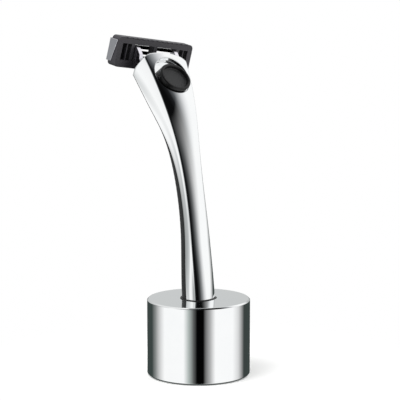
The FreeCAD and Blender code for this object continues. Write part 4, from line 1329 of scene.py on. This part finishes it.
@dataclass
class Cartridge:
    """The blade cartridge: frame, guard, three blades, strip and end clips."""

    half: float = 19.5
    tall: float = 6.1
    depth: float = 4.6
    corner: float = 1.6
    # windows: their lower and upper height, then how near and far from the middle each lies
    window: tuple[float, float] = (-3.1, 3.6)
    cells: tuple = ((0.8, 11.0), (12.6, 14.6), (15.0, 17.2))
    # beds for blades, guard and strip: half width, lower and upper height, depth of the floor
    beds: tuple = ((18.0, -3.5, 4.0, 3.4), (17.0, -5.7, -3.9, 3.8), (16.5, 4.4, 5.7, 3.9))
    # notches in the top edge: width, reach from the back, drop from the top, spacing, and count
    notch: tuple[float, float, float, float] = (1.5, 0.6, 0.35, 2.6)
    notches: int = 13
    # how far each piece's edges are rounded
    frame_round: float = 0.16
    blade_round: float = 0.03
    strip_round: float = 0.08
    clip_round: float = 0.1
    # blades: the foot lies across the bed, then the strip slants out to its edge; each point is
    # a depth over the bed and a height over the blade's own line
    blade_half: float = 17.9
    blade_pitch: float = 2.15
    blade_lift: float = 0.25
    blade_thick: float = 0.25
    blade_bed: float = 3.45
    blade_knee: tuple[float, float] = (0.67, 0.35)
    blade_edge: tuple[float, float] = (1.45, -1.0)
    blade_tip: tuple[float, float] = (1.6, -0.95)
    blade_bend: float = 0.8
    # guard: the base's depths and heights, then the fins, each tapered toward the skin
    guard_half: float = 16.95
    guard_depth: tuple[float, float] = (3.85, 4.6)
    guard_height: tuple[float, float] = (-5.65, -3.95)
    fins: int = 4
    fin_first: float = -5.55
    fin_pitch: float = 0.45
    fin_depth: tuple[float, float, float] = (4.5, 5.25, 5.3)
    fin_thick: float = 0.2
    fin_taper: float = 0.03
    # lubricating strip: back, front at its lower edge, its slope and dome, and its heights
    strip_half: float = 16.45
    strip_back: float = 3.95
    strip_front: float = 5.2
    strip_slope: float = 0.35
    strip_dome: float = 0.12
    strip_height: tuple[float, float] = (4.45, 5.65)
    # clips: the sheet's two faces across, its two faces in depth, the tab's end, and the height
    # and back edge of its lower and upper end
    clip_across: tuple[float, float] = (19.52, 19.82)
    clip_front: tuple[float, float] = (5.1, 5.4)
    clip_tab: float = 17.2
    clip_ends: tuple = ((-4.4, 2.6), (4.6, 0.6))

    def filled(self, x: Array, y: Array, z: Array) -> Array:
        """Whether the frame's plastic fills a point."""
        side = np.abs(x)
        solid = np.ones(x.shape, bool)
        for near, far in self.cells:
            open_cell = (side > near) & (side < far) & (z > self.window[0]) & (z < self.window[1])
            solid &= ~open_cell
        for bed_half, low, high, floor in self.beds:
            solid &= ~((side < bed_half) & (z > low) & (z < high) & (y > floor))
        width, reach, deep, pitch = self.notch
        nearest = np.round(x / pitch)
        in_row = (np.abs(nearest) <= self.notches // 2) & (np.abs(x - nearest * pitch) < width / 2)
        return solid & ~(in_row & (y < reach) & (z > self.tall - deep))

    def frame(self) -> bpy.types.Object:
        """The carved block, with its four outer corners rounded.

        In each corner square of side r, a point (u, v) in units of r moves to
        max(u, v) (u, v) / |(u, v)|, which carries the square onto the quarter disc.
        """
        steps = np.linspace(0.0, self.corner, 7)
        width, reach, deep, pitch = self.notch
        marks = (np.arange(self.notches) - self.notches // 2) * pitch
        sides = [near_far for cell in self.cells for near_far in cell] + [b[0] for b in self.beds]
        x = np.concatenate(
            [sides, np.negative(sides), marks - width / 2, marks + width / 2,
             self.half - steps, steps - self.half]
        )
        z = np.concatenate(
            [self.window, [v for b in self.beds for v in b[1:3]], self.tall - steps,
             steps - self.tall, [self.tall - deep]]
        )
        y = np.array([0.0, reach, self.depth, *(b[3] for b in self.beds)])
        breaks = [np.unique(np.round(b, 6)) for b in (x, y, z)]
        points, quads = carve(breaks, self.filled)
        signs = np.sign(points[:, (0, 2)])
        over = np.abs(points[:, (0, 2)]) - (self.half - self.corner, self.tall - self.corner)
        near = np.all(over > 1e-6, axis=1)
        share = over[near] / self.corner
        moved = share * (share.max(axis=1) / np.linalg.norm(share, axis=1))[:, None]
        base = np.array([self.half - self.corner, self.tall - self.corner])
        points[np.ix_(near, (0, 2))] = (base + moved * self.corner) * signs[near]
        skin = Skin()
        skin.add(CARTRIDGE.points(points), quads)
        made = skin.piece("cartridge_housing", FRAME_PLASTIC)
        bevel(made, self.frame_round)
        return settle(made, "cartridge", "frame_plastic", "cartridge_frame")

    def bar(self, profile: Sequence[tuple[float, float]], half: float, skin: Skin) -> None:
        """A straight bar along x with a (depth, height) profile."""
        flat = np.array(profile)
        rings = [
            CARTRIDGE.points(np.column_stack([np.full(len(flat), x), flat])) for x in (-half, half)
        ]
        skin.prism(*rings)

    def blades(self) -> None:
        """Three bent strips: a foot across the bed and an edge that slants to the skin."""
        bed, thick = self.blade_bed, self.blade_thick
        for row in range(3):
            middle = (row - 1) * self.blade_pitch + self.blade_lift
            foot = middle + self.blade_knee[1]
            profile = [
                (bed, foot), (bed + self.blade_knee[0], foot),
                (bed + self.blade_edge[0], middle + self.blade_edge[1]),
                (bed + self.blade_tip[0], middle + self.blade_tip[1]),
                (bed + self.blade_bend, foot + thick), (bed, foot + thick),
            ]
            skin = Skin()
            self.bar(profile, self.blade_half, skin)
            made = skin.piece(f"blade_strip_{row + 1}", BLADE_STEEL)
            bevel(made, self.blade_round)
            settle(made, "cartridge", "blade_steel", f"blade_{row + 1}")

    def guard(self) -> None:
        """The rubber base and its row of tapered fins."""
        skin = Skin()
        (back, front), (low, high) = self.guard_depth, self.guard_height
        self.bar([(back, low), (front, low), (front, high), (back, high)], self.guard_half, skin)
        root, shoulder, tip = self.fin_depth
        thick, taper = self.fin_thick, self.fin_taper
        for fin in range(self.fins):
            foot = self.fin_first + fin * self.fin_pitch
            profile = [
                (root, foot), (shoulder, foot + taper), (tip, foot + thick / 2),
                (shoulder, foot + thick - taper), (root, foot + thick),
            ]
            self.bar(profile, self.guard_half, skin)
        made = skin.piece("guard_fin_row", GUARD_RUBBER)
        settle(made, "cartridge", "guard_rubber", "guard_fins")

    def strip(self) -> None:
        """The soft strip, whose front slopes and is eased at both edges.

        At a share t up the strip the front stands at front - slope t - dome (2 t - 1)^4.
        """
        t = np.linspace(0.0, 1.0, 9)
        low, high = self.strip_height
        depth = self.strip_front - self.strip_slope * t - self.strip_dome * (2 * t - 1) ** 4
        front = np.column_stack([depth, low + (high - low) * t])
        profile = [(self.strip_back, low), *map(tuple, front), (self.strip_back, high)]
        skin = Skin()
        self.bar(profile, self.strip_half, skin)
        made = skin.piece("soap_strip", STRIP_POLYMER)
        bevel(made, self.strip_round)
        settle(made, "cartridge", "strip_polymer", "lubricating_strip")

    def clips(self) -> None:
        """Bent sheet over each end; the back edge slants in toward the bottom."""
        inside, outside = self.clip_across
        front, face = self.clip_front
        for name, hand in (("clip_left", -1), ("clip_right", 1)):
            rings = []
            for height, back in self.clip_ends:
                outline = [
                    (inside, back), (outside, back), (outside, face), (self.clip_tab, face),
                    (self.clip_tab, front), (inside, front),
                ]
                flat = np.array(outline) * (hand, 1.0)
                rings.append(CARTRIDGE.points(np.column_stack([flat, np.full(len(flat), height)])))
            skin = Skin()
            skin.prism(*rings)
            made = skin.piece(f"{name}_sheet", POLISHED_STEEL)
            bevel(made, self.clip_round)
            settle(made, "cartridge", "polished_steel", name)

    def build(self) -> None:
        """Every piece of the cartridge."""
        self.frame()
        self.blades()
        self.guard()
        self.strip()
        self.clips()


# ------------------------------------------------------------------ carried-over nodes

INNER_NODES = {
    "stand_weight": CAST_IRON,
    "stand_base_plate": ZINC_STEEL,
    "base_screws": ZINC_STEEL,
    "arm_carrier": BLACK_PLASTIC,
    "carrier_screw": ZINC_STEEL,
    "button_slider": ZINC_STEEL,
    "button_spring": SPRING_STEEL,
    "plunger_spring": SPRING_STEEL,
}


def dress_inner_nodes() -> None:
    """Give the CAD nodes that stay as they are their real finishes."""
    for name, finish in INNER_NODES.items():
        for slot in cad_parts[name].material_slots:
            slot.material = finish.material()
        LOG.info("%s: %s", name, finish.name)


# ------------------------------------------------------------------ studio


@dataclass
class Studio:
    """Floor, soft light, the room that the chrome mirrors, and the camera."""

    azimuth: float = -42.0
    pitch: float = 8.3
    distance: float = 650.0
    height: float = 163.0
    lens: float = 153.45
    shift: tuple[float, float] = (0.0035, 0.00175)
    # the room's light in three rings: degrees to the right of the camera, and colour
    low_ring: tuple = (
        (-180.0, "#3d4644"), (-128.0, "#3d4644"), (-112.0, "#8b8e8d"), (-96.0, "#d6d6d6"),
        (-82.0, "#ffffff"), (-34.0, "#ffffff"), (-22.0, "#b4bcb9"), (-11.0, "#5c5e5d"),
        (-4.0, "#050505"), (11.0, "#050505"), (17.0, "#7b7b7b"), (26.0, "#b5b5b5"),
        (38.0, "#ffffff"), (82.0, "#ffffff"), (100.0, "#dcdcdc"), (112.0, "#9c9c9c"),
        (122.0, "#3d4442"), (180.0, "#3d4644"),
    )
    middle_ring: tuple = (
        (-180.0, "#cbcdcd"), (-140.0, "#c4c6c6"), (-112.0, "#6e7271"), (-90.0, "#a6a9a9"),
        (-72.0, "#cdcfcf"), (-66.0, "#ffffff"), (-58.0, "#f8f8f8"), (-50.0, "#a4a7a7"),
        (-38.0, "#5a5c5d"), (-20.0, "#1c1d1e"), (5.0, "#060606"), (34.0, "#0a0a0b"),
        (44.0, "#3c3e3f"), (56.0, "#909293"), (68.0, "#dcdcdd"), (80.0, "#ffffff"),
        (134.0, "#ffffff"), (150.0, "#b4b6b6"), (180.0, "#cbcdcd"),
    )
    high_ring: tuple = (
        (-180.0, "#d4d6d6"), (-90.0, "#eeeeee"), (-60.0, "#ffffff"), (-46.0, "#8a8c8d"),
        (-10.0, "#3a3c3e"), (30.0, "#0c0c0d"), (78.0, "#0c0c0d"), (87.0, "#1c1d1f"),
        (94.0, "#56585b"), (101.0, "#9c9ea0"), (108.0, "#d8d8da"), (116.0, "#ffffff"),
        (140.0, "#ffffff"), (180.0, "#d4d6d6"),
    )
    # the elevations, in degrees, between which one ring passes into the next
    low_to_middle: tuple[float, float] = (-3.0, 5.0)
    middle_to_high: tuple[float, float] = (17.0, 38.0)
    # the sheet under the stand: half its side in millimetres, and the distances in metres from
    # the stand's axis between which it thins out
    sheet_reach: float = 150.0
    sheet_fade: tuple[float, float] = (0.03, 0.1)
    # lamps: name, degrees round from -Y toward +X, degrees up and power; then, in metres, their
    # width, their distance and the point that they stand round
    lamps: tuple = (("key_softbox", -95.0, 50.0, 9.0), ("fill_softbox", 40.0, 40.0, 6.0))
    lamp_width: float = 0.9
    lamp_distance: float = 0.9
    lamp_aim: tuple[float, float, float] = (0.0, 0.0, 0.07)

    def floor(self) -> None:
        """A plain white sheet round the stand, which thins out into the white room."""
        skin = Skin()
        line = np.linspace(-self.sheet_reach, self.sheet_reach, 9)
        x, y = np.meshgrid(line, line)
        skin.grid(np.stack([x, y, np.zeros_like(x)], axis=-1))
        paper = Finish("studio_paper_white", "#fcfcfb", "#fefefd", 0.8, 0.05, pitch=2.0, blotch=40.0)
        sheet = skin.piece("studio_floor", paper)
        sheet.visible_glossy = False
        tree = sheet.data.materials[0].node_tree
        output = next(node for node in tree.nodes if node.type == "OUTPUT_MATERIAL")
        solid = output.inputs["Surface"].links[0].from_socket
        place = add_node(tree, "ShaderNodeTexCoord").outputs["Object"]
        away = add_node(tree, "ShaderNodeVectorMath", {0: place}, operation="LENGTH")
        thin = add_node(
            tree, "ShaderNodeMapRange",
            {"Value": away.outputs["Value"], "From Min": self.sheet_fade[0],
             "From Max": self.sheet_fade[1]},
            interpolation_type="SMOOTHSTEP",
        )
        clear = add_node(tree, "ShaderNodeBsdfTransparent")
        blend = add_node(
            tree, "ShaderNodeMixShader", {0: thin.outputs[0], 1: solid, 2: clear.outputs[0]}
        )
        tree.links.new(blend.outputs[0], output.inputs["Surface"])

    def room(self) -> None:
        """World light: three rings of bands, each passing into the next with height."""
        world = bpy.data.worlds.new("studio_room")
        bpy.context.scene.world = world
        world.use_nodes = True
        tree = world.node_tree
        tree.nodes.clear()
        way = add_node(tree, "ShaderNodeTexCoord").outputs["Generated"]
        angle = math.radians(self.azimuth)
        back = (math.sin(angle), -math.cos(angle), 0.0)
        right = (math.cos(angle), math.sin(angle), 0.0)
        parts = [
            add_node(tree, "ShaderNodeVectorMath", {0: way, 1: axis}, operation="DOT_PRODUCT")
            for axis in (right, back)
        ]
        turned = add_node(
            tree, "ShaderNodeMath",
            {0: parts[0].outputs["Value"], 1: parts[1].outputs["Value"]}, operation="ARCTAN2",
        )
        place = add_node(
            tree, "ShaderNodeMapRange",
            {"Value": turned.outputs[0], "From Min": -math.pi, "From Max": math.pi},
        )
        height = add_node(tree, "ShaderNodeSeparateXYZ", {0: way}).outputs["Z"]
        room = self.ramp(tree, place.outputs[0], self.low_ring)
        for ring, (start, end) in (
            (self.middle_ring, self.low_to_middle), (self.high_ring, self.middle_to_high),
        ):
            lift = add_node(
                tree, "ShaderNodeMapRange",
                {"Value": height, "From Min": math.sin(math.radians(start)),
                 "From Max": math.sin(math.radians(end))},
            )
            upper = self.ramp(tree, place.outputs[0], ring)
            room = add_node(
                tree, "ShaderNodeMix", {0: lift.outputs[0], 6: room, 7: upper}, data_type="RGBA"
            ).outputs[2]
        seen = add_node(tree, "ShaderNodeLightPath").outputs["Is Camera Ray"]
        colour = add_node(
            tree, "ShaderNodeMix",
            {0: seen, 6: room, 7: linear("#ffffff")}, data_type="RGBA",
        )
        light = add_node(tree, "ShaderNodeBackground", {"Color": colour.outputs[2], "Strength": 1.0})
        add_node(tree, "ShaderNodeOutputWorld", {"Surface": light.outputs[0]})

    @staticmethod
    def ramp(
        tree: bpy.types.NodeTree, place: bpy.types.NodeSocket, stops: Sequence
    ) -> bpy.types.NodeSocket:
        """A colour ramp over the whole circle, from stops in degrees."""
        node = add_node(tree, "ShaderNodeValToRGB", {"Fac": place})
        elements = node.color_ramp.elements
        while len(elements) > 1:
            elements.remove(elements[-1])
        for index, (degrees, code) in enumerate(stops):
            at = (degrees + 180.0) / 360.0
            element = elements[0] if index == 0 else elements.new(at)
            element.position = at
            element.color = linear(code)
        return node.outputs["Color"]

    def lights(self) -> None:
        """Two large soft lamps that diffuse surfaces see and mirrors don't."""
        for name, azimuth, elevation, power in self.lamps:
            lamp = bpy.data.lights.new(name, "AREA")
            lamp.size = self.lamp_width
            lamp.energy = power
            holder = bpy.data.objects.new(name, lamp)
            bpy.context.scene.collection.objects.link(holder)
            way = self.direction(azimuth, elevation)
            holder.location = way * self.lamp_distance + self.lamp_aim
            holder.rotation_euler = Vector(way).to_track_quat("Z", "Y").to_euler()
            holder.visible_glossy = False

    @staticmethod
    def direction(azimuth: float, elevation: float) -> Array:
        """The unit way at an angle round from -Y toward +X and an angle up, in degrees."""
        angle, up = math.radians(azimuth), math.radians(elevation)
        flat = math.cos(up)
        return np.array([math.sin(angle) * flat, -math.cos(angle) * flat, math.sin(up)])

    def camera(self) -> None:
        """The camera, a long lens a little above the cartridge."""
        data = bpy.data.cameras.new("studio_camera")
        data.lens = self.lens
        data.sensor_width = 36.0
        data.shift_x, data.shift_y = self.shift
        data.clip_start, data.clip_end = 0.05, 20.0
        holder = bpy.data.objects.new("studio_camera", data)
        bpy.context.scene.collection.objects.link(holder)
        level = self.direction(self.azimuth, 0.0) * self.distance
        holder.location = Vector(level + (0.0, 0.0, self.height)) * MM
        back = Vector(self.direction(self.azimuth, self.pitch))
        holder.rotation_euler = back.to_track_quat("Z", "Y").to_euler()
        bpy.context.scene.camera = holder

    def build(self) -> None:
        """Everything round the object."""
        self.camera()
        self.floor()
        self.room()
        self.lights()
        bpy.context.scene.view_settings.view_transform = "Standard"


def main() -> None:
    """Build the razor piece by piece, then the studio."""
    logging.basicConfig(level=logging.INFO, format="%(message)s")
    Stand().build()
    Casting().build()
    Grip().build()
    Button().build()
    ReleaseArm("arm_left", "left_arm", -1).build()
    ReleaseArm("arm_right", "right_arm", 1).build()
    Plunger().build()
    Cartridge().build()
    dress_inner_nodes()
    Studio().build()


if __name__ == "__main__":
    main()
